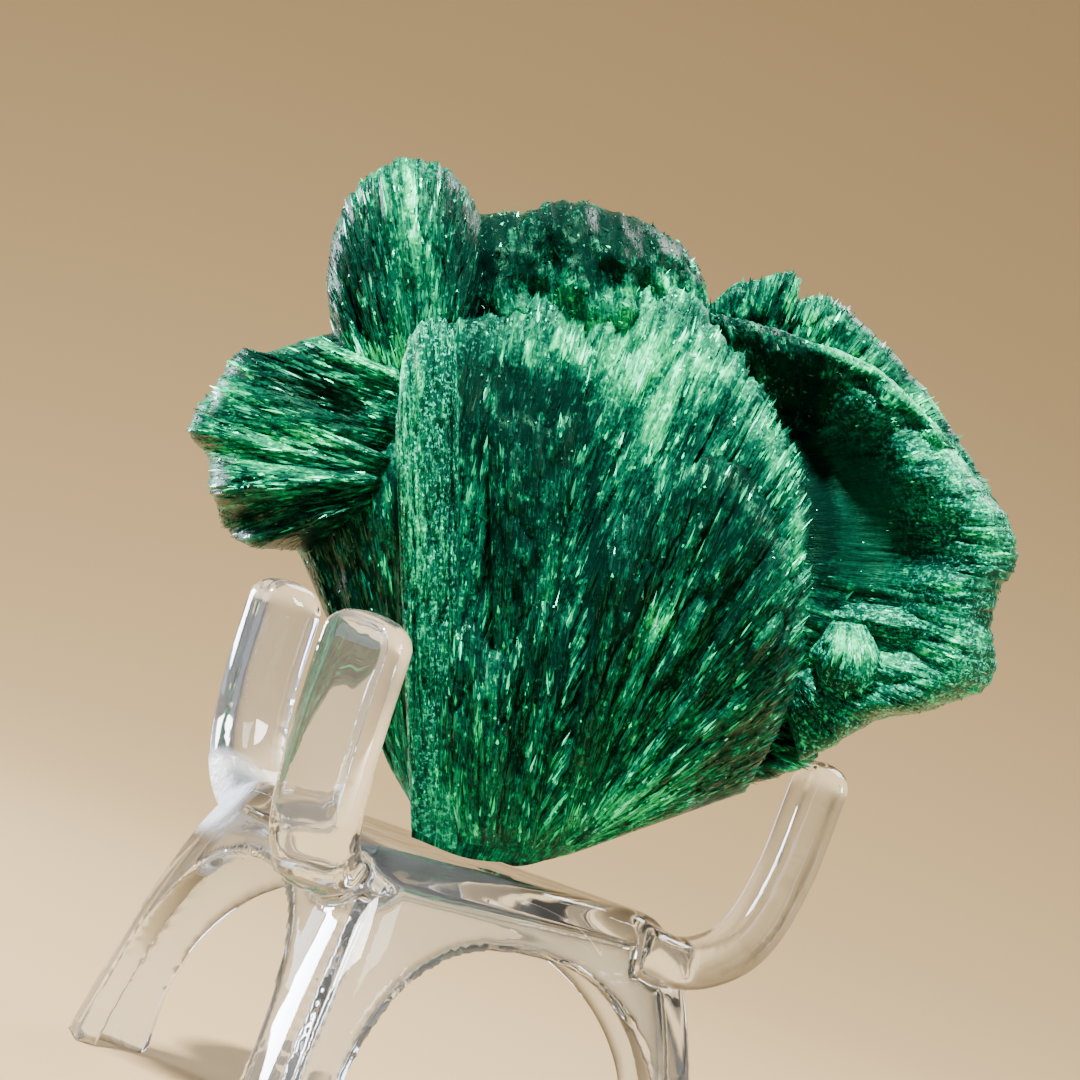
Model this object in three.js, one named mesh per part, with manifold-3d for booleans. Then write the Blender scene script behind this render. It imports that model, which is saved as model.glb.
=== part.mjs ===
// A fibrous malachite specimen resting on a clear moulded three-armed display stand.
// Millimetres, +Z up, +Y away from the viewer. The origin is on the table, under the middle of the whole.
import * as THREE from 'three';
import { mergeVertices } from 'three/addons/utils/BufferGeometryUtils.js';
import Module from 'manifold-3d';

const wasm = await Module();
wasm.setup();

const { degToRad } = THREE.MathUtils;

// How the stone sits: the height of its centre, its turn in the viewer's plane and its lean back.
const STONE_CENTRE_HEIGHT = 46.8;
const STONE_TURN = degToRad(18.7);
const STONE_LEAN = degToRad(-1.6);
const REST_GAP = 0.35;

// The stand: a deck on three flared legs, with an arm over each leg.
const STAND_CENTRE = new THREE.Vector3(-3.3, 4, 0);
const DECK_TOP = 21.8;
const DECK_THICKNESS = 2.4;
const DECK_CORNER_RADIUS = 17.4;
const FOOT_CORNER_RADIUS = 29;
const WALL = 2;
const ARCH_HEIGHT = 17.4;
const ARCH_HALF_WIDTH = 17.5;
const ARM_REACH = 24.3;
const ARM_RISE = 13.7;
const ARM_WIDTH = 5.8;
const ARM_THICKNESS = 3.4;
const THIRD_TURN = (2 * Math.PI) / 3;
const LEG_BEARING = degToRad(20.2);
const ARM_BEARING = degToRad(11);

// A small repeatable number in -1..1 for two whole numbers and a seed.
function scatter(i, j, seed) {
  const wave = Math.sin(i * 127.1 + j * 311.7 + seed * 74.7) * 43758.5453;
  return 2 * (wave - Math.floor(wave)) - 1;
}

// A closed mesh as a solid.
function toSolid(geometry) {
  const bare = geometry.clone();
  bare.deleteAttribute('normal');
  bare.deleteAttribute('uv');
  const merged = mergeVertices(bare, 1e-4);
  return new wasm.Manifold(new wasm.Mesh({
    numProp: 3,
    vertProperties: new Float32Array(merged.attributes.position.array),
    triVerts: new Uint32Array(merged.index.array),
  }));
}

// A solid as a mesh geometry.
function toGeometry(solid) {
  const { vertProperties, triVerts } = solid.getMesh();
  const geometry = new THREE.BufferGeometry();
  geometry.setAttribute('position', new THREE.BufferAttribute(new Float32Array(vertProperties), 3));
  geometry.setIndex(new THREE.BufferAttribute(new Uint32Array(triVerts), 1));
  geometry.computeVertexNormals();
  return geometry;
}

// A geometry from a flat list of coordinates and triangles.
function fromLists(places, index) {
  const geometry = new THREE.BufferGeometry();
  geometry.setAttribute('position', new THREE.BufferAttribute(new Float32Array(places), 3));
  geometry.setIndex(index);
  return geometry;
}

// A smooth line through [x, y, z] points.
function line(points) {
  return new THREE.CatmullRomCurve3(points.map((p) => new THREE.Vector3(...p)), false, 'catmullrom', 0.5);
}

// How far a spray has swollen at t along its fibres: thin at the root, full at rise, round at the tip.
function swellAlong(t, rise) {
  const heel = Math.min(1, t / 0.08);
  if (t < rise) return heel * (0.35 + 0.65 * Math.sin((t / rise) * (Math.PI / 2)));
  return Math.sqrt(Math.max(0, 1 - ((t - rise) / (1 - rise)) ** 3));
}

// One spray of fibres: a closed fan-shaped pillow whose fibres run from the root line to the tip line.
// It bulges by front towards the viewer and by back away from them. Each bundle of fibres stands a little
// proud or shy of the next by relief, and ends a little long or short by ragged. A dish hollows its front.
function spray({
  root, tip, front, back, bundles = 16, steps = 6, relief = 0.4, ragged = 0.02, rise = 0.6, dish = 0, seed,
}) {
  const rootLine = line(root);
  const tipLine = line(tip);
  const places = [];
  const index = [];
  const row = steps + 1;
  for (const sign of [1, -1]) {
    const first = places.length / 3;
    for (let i = 0; i <= bundles; i += 1) {
      const s = i / bundles;
      const across = (1 - Math.abs(2 * s - 1) ** 3) ** (1 / 3);
      const reach = 1 + ragged * scatter(i, 9, seed);
      for (let j = 0; j <= steps; j += 1) {
        const t = j / steps;
        const at = rootLine.getPoint(s).lerp(tipLine.getPoint(s), t * (t > 0.5 ? reach : 1));
        const proud = relief * (scatter(i, 0, seed) + 0.5 * scatter(i, j, seed + 3));
        const hollow = sign > 0 ? dish * Math.sin(Math.PI * Math.min(1, t / 0.8)) ** 2 : 0;
        at.z += sign * across * swellAlong(t, rise) * ((sign > 0 ? front : back) + proud - hollow);
        places.push(at.x, at.y, at.z);
      }
    }
    for (let i = 0; i < bundles; i += 1) {
      for (let j = 0; j < steps; j += 1) {
        const a = first + i * row + j;
        const [b, c, d] = [a + row, a + row + 1, a + 1];
        if (sign > 0) index.push(a, b, c, a, c, d);
        else index.push(a, c, b, a, d, c);
      }
    }
  }
  return toSolid(fromLists(places, index));
}

// The sprays that grew together, in the stone's own frame: x right, y up and z towards the viewer.
const SPRAYS = {
  core: {
    root: [[-10.5, -20.5, -4], [-5.4, -24.2, -5], [5, -19.6, -5]],
    tip: [[-17, -4, -6], [-17, 6, -6], [-11, 14, -6], [-2, 16.5, -6], [7, 14, -6], [17, 7, -6],
      [21, -3, -6], [15, -13, -5]],
    front: 8, back: 8, bundles: 14, steps: 5, seed: 1,
  },
  mainFan: {
    root: [[-12.4, -21.4, 5], [-8.6, -22.9, 4], [-4.6, -23.2, 3], [-2.2, -22.8, 2.5]],
    tip: [[-12.2, 11, 8], [-6.7, 12.8, 5], [0, 14, 3], [6.6, 13.3, 3.5], [11.3, 8, 6], [13.3, 2, 7.6],
      [13.2, -6, 7.6], [12.4, -12, 5.6], [9.6, -18.6, 2.6]],
    front: 3.2, back: 6, bundles: 30, steps: 8, relief: 0.42, rise: 0.55, seed: 2,
  },
  spine: {
    root: [[-12.2, -18, 8], [-10.2, -19, 7.6]],
    tip: [[-13.3, 4.6, 9], [-12.7, 10, 9.4], [-11.2, 11.8, 9.4], [-9.6, 11, 9], [-9.2, 6, 8.6]],
    front: 2.4, back: 4, bundles: 8, steps: 7, relief: 0.3, rise: 0.7, seed: 5,
  },
  fanTier: {
    root: [[-2.8, -22, 4.6], [-1.4, -22, 4.2]],
    tip: [[0.6, -2, 8.4], [1.7, -0.3, 8.7], [3.8, 1.6, 8.9], [6.5, 3.2, 8.9], [9.3, 2.4, 8.8],
      [11.6, -1, 8.6], [12.4, -5, 8.4], [12, -11, 7], [10.2, -16, 4.6]],
    front: 3, back: 3, bundles: 18, steps: 6, relief: 0.42, rise: 0.7, seed: 7,
  },
  fanFoot: {
    root: [[-10.6, -21.5, 5.2], [-4.4, -22.6, 4.6]],
    tip: [[-11.4, -9, 9.2], [-8.6, -6.6, 9.6], [-4.8, -5.6, 9.4], [-2.2, -7.4, 8.8]],
    front: 2.4, back: 3, bundles: 14, steps: 5, relief: 0.4, rise: 0.7, seed: 8,
  },
  tongue: {
    root: [[-14.5, 5, -1], [-12, 5.5, 0], [-9.6, 6, 0]],
    tip: [[-17.9, 11.2, -1], [-18.2, 15.5, -1], [-17.6, 19.4, -1], [-16, 21.9, -1], [-13.4, 23.4, -1],
      [-10.3, 23, -1], [-8.4, 20.7, -1.5], [-7.2, 17, -2], [-6.6, 12, -2]],
    front: 4.6, back: 6, bundles: 18, steps: 6, relief: 0.4, rise: 0.5, seed: 11,
  },
  crust: {
    root: [[-10.4, 12.2, -4], [0, 12.4, -4], [7.4, 12.6, -4]],
    tip: [[-10.6, 18.6, -4], [-8.2, 20.1, -4], [-5, 20.2, -4], [-3, 20.9, -4], [0, 20.7, -4],
      [3.4, 19.4, -4], [5.9, 17.7, -4], [7.2, 15.4, -4]],
    front: 7.2, back: 7, bundles: 16, steps: 6, relief: 0.9, rise: 0.45, seed: 13,
  },
  leftBrow: {
    root: [[-13.8, 3.4, 2], [-13, 7, 3], [-12.6, 10.5, 1]],
    tip: [[-26.9, 5, 1], [-26, 7.4, 1], [-24.9, 9.5, 0], [-23.8, 10.7, 0], [-22.2, 10.5, 0],
      [-20, 11.3, -1], [-17.6, 12, -1], [-13.6, 13, -2]],
    front: 2.8, back: 7, bundles: 14, steps: 6, relief: 0.45, rise: 0.7, seed: 17,
  },
  leftCheek: {
    root: [[-14.6, 0.4, 2.6], [-13.6, 3.4, 4]],
    tip: [[-19.6, -2.8, 1], [-23.2, -2.4, 1], [-25, -1.2, 1], [-25.7, 1, 1], [-26.2, 3.6, 1],
      [-27.2, 5.2, 1], [-25.9, 7.8, 1], [-23, 7.2, 1]],
    front: 2.8, back: 7, bundles: 16, steps: 5, relief: 0.5, rise: 0.65, seed: 19,
  },
  leftFace: {
    root: [[-14, -17.2, 0], [-11.6, -21, 2]],
    tip: [[-20.2, -3, -3], [-19.2, 0, -1], [-16.6, 3, 1.6], [-13, 4.6, 3.6]],
    front: 2, back: 8, bundles: 12, steps: 5, relief: 0.45, rise: 0.6, seed: 23,
  },
  rightBlade: {
    root: [[9.6, 5, -1], [12, -3, 0], [10.6, -12, 0]],
    tip: [[12.6, 11.6, -1], [17.8, 9.8, -1], [21.8, 6.3, -1], [25.1, 2.5, -1], [27.3, -0.8, -1],
      [28, -3.2, -1], [26.7, -5.6, -1], [26.2, -9.4, -1], [25.7, -11.8, -1], [21.9, -13.4, -1],
      [18.6, -14, -1], [15.8, -15.6, -1]],
    front: 5.4, back: 7, bundles: 22, steps: 6, relief: 0.45, rise: 0.72, dish: 4, seed: 29,
  },
  rightLip: {
    root: [[9, 6, 1], [14.5, 2.5, 1.6], [19, 0, 1.6]],
    tip: [[7.2, 13, 1], [9.4, 12.6, 1.6], [12.6, 11.6, 2.2], [17.8, 9.6, 2.4], [21.8, 6.1, 2],
      [24.6, 2.6, 1.4]],
    front: 2.2, back: 5, bundles: 16, steps: 4, relief: 0.45, rise: 0.7, seed: 31,
  },
  rightCrest: {
    root: [[7, 6, -6], [14, 2, -7]],
    tip: [[6.9, 13.4, -4], [9.3, 15.2, -4], [12.5, 16.1, -4], [13.5, 15.6, -4], [13.6, 14.4, -4.4],
      [15.6, 14.5, -4.6], [18.6, 12.1, -5], [21.8, 8.6, -5], [25.1, 4, -5], [27.1, 0.3, -5]],
    front: 2.6, back: 6, bundles: 18, steps: 5, relief: 0.4, rise: 0.7, seed: 37,
  },
  rightFoot: {
    root: [[14, -6, 0], [12, -12, 0]],
    tip: [[24, -6.6, 1.6], [26.2, -9.4, 1], [25.7, -11.8, 0.4], [21.9, -13.4, 0], [18.6, -14, 0],
      [15.8, -15.6, 0], [13.4, -16.8, -1]],
    front: 3, back: 7, bundles: 14, steps: 5, relief: 0.5, rise: 0.6, seed: 41,
  },
  knob: {
    root: [[17.4, -7.4, 2.4], [15.2, -7.4, 2.4]],
    tip: [[19, -10.4, 2.8], [17, -12.4, 2.6], [14.8, -11.8, 2.4], [13.9, -9.4, 2.4]],
    front: 1.8, back: 3, bundles: 8, steps: 4, relief: 0.3, rise: 0.5, seed: 43,
  },
  heel: {
    root: [[6, -11, -5], [-2, -16, -5]],
    tip: [[14.6, -15.2, -4], [14.6, -17, -4], [12, -18.1, -4], [8, -19, -4], [3, -21, -3]],
    front: 2.4, back: 6, bundles: 12, steps: 4, relief: 0.5, rise: 0.6, seed: 47,
  },
  backFan: {
    root: [[-7, -15, -8], [5, -15, -8]],
    tip: [[-13, -1, -11], [-10, 9, -11], [0, 13, -11], [10, 9, -11], [15, 0, -10]],
    front: 2, back: 7, bundles: 12, steps: 4, relief: 0.6, rise: 0.55, seed: 53,
  },
  backLeft: {
    root: [[-7, -7, -9], [-7, 4, -9]],
    tip: [[-16, -9, -11], [-21, -2, -9], [-20, 7, -7], [-14, 14, -8]],
    front: 3, back: 6.5, bundles: 12, steps: 4, relief: 0.6, rise: 0.6, seed: 59,
  },
  backRight: {
    root: [[6, 4, -10], [4, -9, -10]],
    tip: [[19, 5, -8], [24, -3, -7], [22, -9, -7], [14, -14, -7]],
    front: 2, back: 6, bundles: 12, steps: 4, relief: 0.6, rise: 0.6, seed: 61,
  },
};

// The stone's place in the whole, as a matrix.
function stoneMatrix() {
  const turn = new THREE.Euler(Math.PI / 2 - STONE_LEAN, 0, STONE_TURN);
  return new THREE.Matrix4().makeRotationFromEuler(turn).setPosition(0, 0, STONE_CENTRE_HEIGHT);
}

// All sprays as one solid, still in the stone's own frame.
function growStone() {
  return Object.values(SPRAYS).map(spray).reduce((whole, one) => whole.add(one));
}

// The distance from the stand's centre to its outline at a bearing: a triangle with blunt, rounded corners.
function outlineRadius(bearing, cornerRadius) {
  const turned = bearing - LEG_BEARING;
  const fromCorner = turned - THIRD_TURN * Math.round(turned / THIRD_TURN);
  const side = cornerRadius * (0.5 / Math.cos(Math.PI / 3 - Math.abs(fromCorner)));
  return (side ** -12 + (cornerRadius * 0.98) ** -12) ** (-1 / 12);
}

// The corner radius at a height: the legs flare quickly under the deck and stand steeper at the feet.
function cornerRadiusAt(height) {
  const drop = Math.max(0, (DECK_TOP - height) / DECK_TOP);
  return DECK_CORNER_RADIUS + (FOOT_CORNER_RADIUS - DECK_CORNER_RADIUS) * Math.sqrt(drop);
}

// A closed bell of the stand's outline, drawn in by inset, between two heights.
function bell(bottom, top, inset, sides = 36, levels = 5) {
  const places = [];
  const index = [];
  for (let k = 0; k <= levels; k += 1) {
    const height = top + (bottom - top) * (k / levels) ** 1.7;
    for (let i = 0; i < sides; i += 1) {
      const bearing = (i / sides) * 2 * Math.PI + LEG_BEARING;
      const radius = outlineRadius(bearing, cornerRadiusAt(height) - inset * 1.5);
      places.push(radius * Math.cos(bearing), radius * Math.sin(bearing), height);
    }
  }
  const lid = places.length / 3;
  places.push(0, 0, top, 0, 0, bottom);
  for (let i = 0; i < sides; i += 1) {
    const next = (i + 1) % sides;
    for (let k = 0; k < levels; k += 1) {
      const [a, b] = [k * sides + i, k * sides + next];
      const [c, d] = [a + sides, b + sides];
      index.push(a, c, b, b, c, d);
    }
    index.push(lid, i, next, lid + 1, levels * sides + next, levels * sides + i);
  }
  return toSolid(fromLists(places, index));
}

// An arched tunnel with a flattish crown through one side of the stand, facing outwards at a bearing.
function arch(bearing) {
  const outline = new THREE.Shape();
  outline.moveTo(ARCH_HALF_WIDTH, -1);
  for (let k = 0; k <= 15; k += 1) {
    const a = (k / 15) * Math.PI;
    const x = ARCH_HALF_WIDTH * Math.sign(Math.cos(a)) * Math.abs(Math.cos(a)) ** 0.8;
    outline.lineTo(x, ARCH_HEIGHT * Math.sin(a) ** 0.8);
  }
  outline.lineTo(-ARCH_HALF_WIDTH, -1);
  const geometry = new THREE.ExtrudeGeometry(outline, { depth: FOOT_CORNER_RADIUS, bevelEnabled: false });
  geometry.rotateX(Math.PI / 2);
  geometry.rotateZ(bearing + Math.PI / 2);
  return toSolid(geometry);
}

// An arm's middle line, in its own upright plane, from the stand's centre outwards and up over the deck.
const ARM_LINE = line([
  [ARM_REACH - 8.6, -2.1], [ARM_REACH - 5, -2.3], [ARM_REACH - 1.8, 0.2],
  [ARM_REACH - 0.4, 5.2], [ARM_REACH, ARM_RISE - 1.7],
].map(([x, z]) => [x, 0, DECK_TOP + z]));

// One arm: a flat round-edged strip that leaves the deck's corner and curls up to a round end.
// Every face stands out by grow, for the room that the stone keeps clear of it.
function arm(bearing, grow = 0) {
  const stations = 8;
  const around = 12;
  const places = [];
  const addRing = (t, ahead, share) => {
    const tangent = ARM_LINE.getTangent(t);
    const across = new THREE.Vector3(tangent.z, 0, -tangent.x);
    const centre = ARM_LINE.getPoint(t).addScaledVector(tangent, ahead);
    const broadening = 1 + 0.2 * (1 - Math.min(1, t / 0.4)) ** 2;
    for (let i = 0; i < around; i += 1) {
      const a = (i / around) * 2 * Math.PI;
      const [wide, deep] = [Math.cos(a), Math.sin(a)].map((x) => Math.sign(x) * Math.abs(x) ** 0.6 * share);
      const at = centre.clone().addScaledVector(across, deep * (ARM_THICKNESS / 2 + grow));
      places.push(at.x, at.y + wide * ((ARM_WIDTH / 2) * broadening + grow), at.z);
    }
  };
  for (let k = 0; k <= stations; k += 1) addRing(k / stations, 0, 1);
  addRing(1, 0.9 + grow / 2, 0.88);
  addRing(1, 1.6 + grow, 0.55);
  const rings = stations + 3;
  const heel = places.length / 3;
  const nose = ARM_LINE.getPoint(1).addScaledVector(ARM_LINE.getTangent(1), 1.8 + grow);
  places.push(...ARM_LINE.getPoint(0).toArray(), ...nose.toArray());
  const index = [];
  for (let i = 0; i < around; i += 1) {
    const next = (i + 1) % around;
    for (let k = 0; k < rings - 1; k += 1) {
      const [a, b] = [k * around + i, k * around + next];
      index.push(a, a + around, b, b, a + around, b + around);
    }
    index.push(heel, i, next, heel + 1, (rings - 1) * around + next, (rings - 1) * around + i);
  }
  const geometry = fromLists(places, index);
  geometry.rotateZ(bearing);
  return toSolid(geometry);
}

// The whole stand in one solid, about its own centre. Small pockets closed in by the arms are left full.
function buildStand() {
  let solid = bell(0, DECK_TOP, 0).subtract(bell(-1, DECK_TOP - DECK_THICKNESS, WALL));
  for (let k = 0; k < 3; k += 1) {
    solid = solid.subtract(arch(LEG_BEARING + (k + 0.5) * THIRD_TURN));
    solid = solid.add(arm(ARM_BEARING + k * THIRD_TURN));
  }
  const shells = solid.decompose();
  return shells.reduce((largest, shell) => (shell.volume() > largest.volume() ? shell : largest));
}

// The stone, in its own frame, with room left for the deck and the arms that it rests on.
function seatStone(stone, matrix) {
  const toStone = matrix.clone().invert();
  const keepClear = [0, 1, 2].map((k) => arm(ARM_BEARING + k * THIRD_TURN, REST_GAP));
  keepClear.push(bell(0, DECK_TOP + REST_GAP, -REST_GAP));
  return keepClear.reduce((seated, solid) => {
    const geometry = toGeometry(solid);
    geometry.translate(STAND_CENTRE.x, STAND_CENTRE.y, 0);
    geometry.applyMatrix4(toStone);
    return seated.subtract(toSolid(geometry));
  }, stone);
}

const matrix = stoneMatrix();
const malachiteMaterial = new THREE.MeshStandardMaterial({ color: 0x0f7a4c, roughness: 0.45 });
const clearPlasticMaterial = new THREE.MeshStandardMaterial({ color: 0xe8eef2, roughness: 0.08 });

const stone = new THREE.Mesh(toGeometry(seatStone(growStone(), matrix)), malachiteMaterial);
stone.name = 'malachite';
stone.applyMatrix4(matrix);

const stand = new THREE.Mesh(toGeometry(buildStand()), clearPlasticMaterial);
stand.name = 'stand';
stand.position.copy(STAND_CENTRE);

const specimen = new THREE.Group();
specimen.add(stone, stand);
const middle = new THREE.Box3().setFromObject(specimen, true).getCenter(new THREE.Vector3());
specimen.position.set(-middle.x, -middle.y, 0);
export default specimen;
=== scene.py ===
"""A fibrous malachite specimen on its clear moulded stand, in a plain studio.

The stone is built as it grew: sprays of fibres that fan out from short roots and have fused into one mass.
Each spray is a surface of two parameters, s across its fibres and t along them, and thousands of loose
needle ends lie on it along the same fibres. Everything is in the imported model's frame.
"""

import logging
import math
from dataclasses import dataclass, field
from enum import Enum

import bpy
import numpy as np
from mathutils import Matrix, Vector

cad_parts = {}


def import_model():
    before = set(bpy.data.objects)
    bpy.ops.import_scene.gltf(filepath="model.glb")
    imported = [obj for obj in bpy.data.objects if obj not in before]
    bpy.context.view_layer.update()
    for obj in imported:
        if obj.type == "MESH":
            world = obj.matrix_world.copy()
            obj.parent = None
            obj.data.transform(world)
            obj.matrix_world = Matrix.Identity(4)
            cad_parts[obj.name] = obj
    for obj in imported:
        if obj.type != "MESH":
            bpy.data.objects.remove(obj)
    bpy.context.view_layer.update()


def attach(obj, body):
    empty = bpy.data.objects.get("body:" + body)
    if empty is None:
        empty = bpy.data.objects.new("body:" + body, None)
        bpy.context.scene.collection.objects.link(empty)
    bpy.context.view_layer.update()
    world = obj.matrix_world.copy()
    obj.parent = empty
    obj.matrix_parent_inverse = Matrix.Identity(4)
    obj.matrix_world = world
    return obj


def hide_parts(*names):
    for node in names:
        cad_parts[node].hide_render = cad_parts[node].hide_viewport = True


LOG = logging.getLogger("specimen")
MM = 0.001

# The stone's frame, in millimetres: to the right and up in the photo's plane, and towards the viewer.
# It is turned in that plane and leans a little. The stand keeps the model's own upright frame.
STONE_CENTRE = np.array([-0.312, -1.122, 46.8])
STONE_TURN = math.radians(18.7)
STONE_LEAN = math.radians(-1.6)
STAND_CENTRE = np.array([-3.612, 2.878, 0.0])
DECK_TOP = 21.8
# The stone's lowest points lie a hair above the deck.
REST_HEIGHT = DECK_TOP + 0.35
THIRD = 2 * math.pi / 3

Points = np.ndarray
Stops = tuple[tuple[float, str], ...]


class Habit(Enum):
    """How a spray's fibres end and stand: this sets its relief and its needles."""

    SILKY = "silky"
    FROSTED = "frosted"
    CRUST = "crust"
    PLAIN = "plain"


# The longest needle ends of each habit, in millimetres.
LONGEST_NEEDLE = {Habit.SILKY: 1.7, Habit.PLAIN: 1.7, Habit.FROSTED: 0.7, Habit.CRUST: 0.5}


class Side(Enum):
    """The two faces of a spray, by the sign of its bulge towards the viewer."""

    FRONT = 1
    BACK = -1


def linear_rgba(code: str) -> tuple[float, float, float, float]:
    """A colour written as sRGB hex, in linear light.

    Args:
        code: Six hex digits after a hash.

    Returns:
        Red, green, blue and an alpha of one.
    """
    values = [int(code[k : k + 2], 16) / 255 for k in (1, 3, 5)]
    red, green, blue = [v / 12.92 if v <= 0.04045 else ((v + 0.055) / 1.055) ** 2.4 for v in values]
    return red, green, blue, 1.0


def add_node(tree: bpy.types.NodeTree, kind: str, **settings: object) -> bpy.types.Node:
    """Adds a shader node and sets its fields and inputs.

    Args:
        tree: The material's node tree.
        kind: The node's type name.
        **settings: Fields by name, inputs by name with spaces written as underscores, or sockets to link.

    Returns:
        The new node.
    """
    node = tree.nodes.new(kind)
    for key, value in settings.items():
        name = key.replace("_", " ")
        if hasattr(node, key) and name not in node.inputs:
            setattr(node, key, value)
            continue
        socket = node.inputs[name]
        if isinstance(value, bpy.types.NodeSocket):
            tree.links.new(value, socket)
        else:
            socket.default_value = value
    return node


def noise_node(
    tree: bpy.types.NodeTree, place: bpy.types.NodeSocket, **settings: object
) -> bpy.types.NodeSocket:
    """The socket of a new noise texture's strength at a place."""
    return add_node(tree, "ShaderNodeTexNoise", Vector=place, **settings).outputs["Fac"]


def remapped(tree: bpy.types.NodeTree, value: bpy.types.NodeSocket, **limits: float) -> bpy.types.NodeSocket:
    """The socket of a number carried from one range to another and kept within it."""
    return add_node(tree, "ShaderNodeMapRange", Value=value, **limits).outputs["Result"]


def along_fibres(tree: bpy.types.NodeTree, across: float, along: float) -> bpy.types.NodeSocket:
    """The fibre map with so many pattern cells to a millimetre across and along the fibres."""
    fibre = add_node(tree, "ShaderNodeUVMap", uv_map="fibre").outputs["UV"]
    return add_node(tree, "ShaderNodeMapping", Vector=fibre, Scale=(across, along, 1.0)).outputs["Vector"]


def from_mesh(tree: bpy.types.NodeTree, name: str) -> bpy.types.NodeSocket:
    """The socket of a number that each vertex of the mesh carries."""
    return add_node(tree, "ShaderNodeAttribute", attribute_name=name).outputs["Fac"]


def colour_ramp(tree: bpy.types.NodeTree, value: bpy.types.NodeSocket, stops: Stops) -> bpy.types.NodeSocket:
    """The socket of a ramp's colour at a value.

    Args:
        tree: The material's node tree.
        value: Where on the ramp.
        stops: Places on the ramp and their colours, from the lowest to the highest.

    Returns:
        The colour's socket.
    """
    ramp = add_node(tree, "ShaderNodeValToRGB", Fac=value)
    elements = ramp.color_ramp.elements
    elements[0].position, elements[0].color = stops[0][0], linear_rgba(stops[0][1])
    elements[1].position, elements[1].color = stops[-1][0], linear_rgba(stops[-1][1])
    for place, colour in stops[1:-1]:
        elements.new(place).color = linear_rgba(colour)
    return ramp.outputs["Color"]


def weighted_sum(
    tree: bpy.types.NodeTree, start: float, *terms: tuple[bpy.types.NodeSocket, float]
) -> bpy.types.NodeSocket:
    """The socket of start plus each socket times its weight.

    Args:
        tree: The material's node tree.
        start: The number that the sum starts from.
        *terms: Sockets and their weights.

    Returns:
        The sum's socket.
    """
    total: bpy.types.NodeSocket | float = start
    for socket, weight in terms:
        node = add_node(tree, "ShaderNodeMath", operation="MULTIPLY_ADD")
        tree.links.new(socket, node.inputs[0])
        node.inputs[1].default_value = weight
        if isinstance(total, float):
            node.inputs[2].default_value = total
        else:
            tree.links.new(total, node.inputs[2])
        total = node.outputs[0]
    return total


def new_material(name: str) -> tuple[bpy.types.Material, bpy.types.NodeTree]:
    """A new material with no nodes yet.

    Args:
        name: The material's name.

    Returns:
        The material and its node tree.
    """
    material = bpy.data.materials.new(name)
    material.use_nodes = True
    material.node_tree.nodes.clear()
    return material, material.node_tree


def scatter(i: Points, j: Points, seed: float) -> Points:
    """A repeatable number in -1..1 for whole numbers: the fraction of a large sine, doubled, less one."""
    wave = np.sin(np.asarray(i) * 127.1 + np.asarray(j) * 311.7 + seed * 74.7) * 43758.5453
    return 2 * (wave - np.floor(wave)) - 1


def value_noise(u: Points, v: Points, seed: float) -> Points:
    """Smooth noise in -1..1: scatter at the four whole-number corners, eased between them.

    Args:
        u: First coordinate, one lattice cell for each whole number.
        v: Second coordinate.
        seed: Which noise.

    Returns:
        An array of the inputs' shape.
    """
    iu, iv = np.floor(u), np.floor(v)
    fu, fv = u - iu, v - iv
    fu, fv = fu * fu * (3 - 2 * fu), fv * fv * (3 - 2 * fv)
    low = scatter(iu, iv, seed) * (1 - fu) + scatter(iu + 1, iv, seed) * fu
    high = scatter(iu, iv + 1, seed) * (1 - fu) + scatter(iu + 1, iv + 1, seed) * fu
    return low * (1 - fv) + high * fv


def curve_points(knots: Points, share: Points) -> Points:
    """Points on a smooth line through knots: a cubic between neighbours, with half their difference as slope.

    Args:
        knots: The points it runs through, n by 3.
        share: Places along it in 0..1, one for each whole step between knots.

    Returns:
        One point for each place.
    """
    before = 2 * knots[0] - knots[1]
    after = 2 * knots[-1] - knots[-2]
    padded = np.vstack([before, knots, after])
    place = np.clip(share, 0, 1) * (len(knots) - 1)
    first = np.minimum(np.floor(place).astype(int), len(knots) - 2)
    x = (place - first)[:, None]
    p0, p1, p2, p3 = (padded[first + k] for k in range(4))
    slopes = (x**3 - 2 * x**2 + x) * (p2 - p0) / 2 + (x**3 - x**2) * (p3 - p1) / 2
    return (2 * x**3 - 3 * x**2 + 1) * p1 + (3 * x**2 - 2 * x**3) * p2 + slopes


def stone_axes() -> Points:
    """The stone's own right, up and towards-the-viewer directions in the model's frame, as rows.

    Returns:
        A 3 by 3 matrix.
    """
    turn, lean = STONE_TURN, STONE_LEAN
    right = [math.cos(turn), math.sin(turn) * math.sin(lean), math.sin(turn) * math.cos(lean)]
    up = [-math.sin(turn), math.cos(turn) * math.sin(lean), math.cos(turn) * math.cos(lean)]
    towards = [0.0, -math.cos(lean), math.sin(lean)]
    return np.array([right, up, towards])


def above_deck(points: Points) -> Points:
    """Carries points from the stone's frame into the model's, and lifts those that go below the deck.

    Args:
        points: n by 3, in millimetres.

    Returns:
        n by 3, in millimetres.
    """
    place = points @ stone_axes() + STONE_CENTRE
    place[:, 2] = np.maximum(place[:, 2], REST_HEIGHT)
    return place


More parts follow.
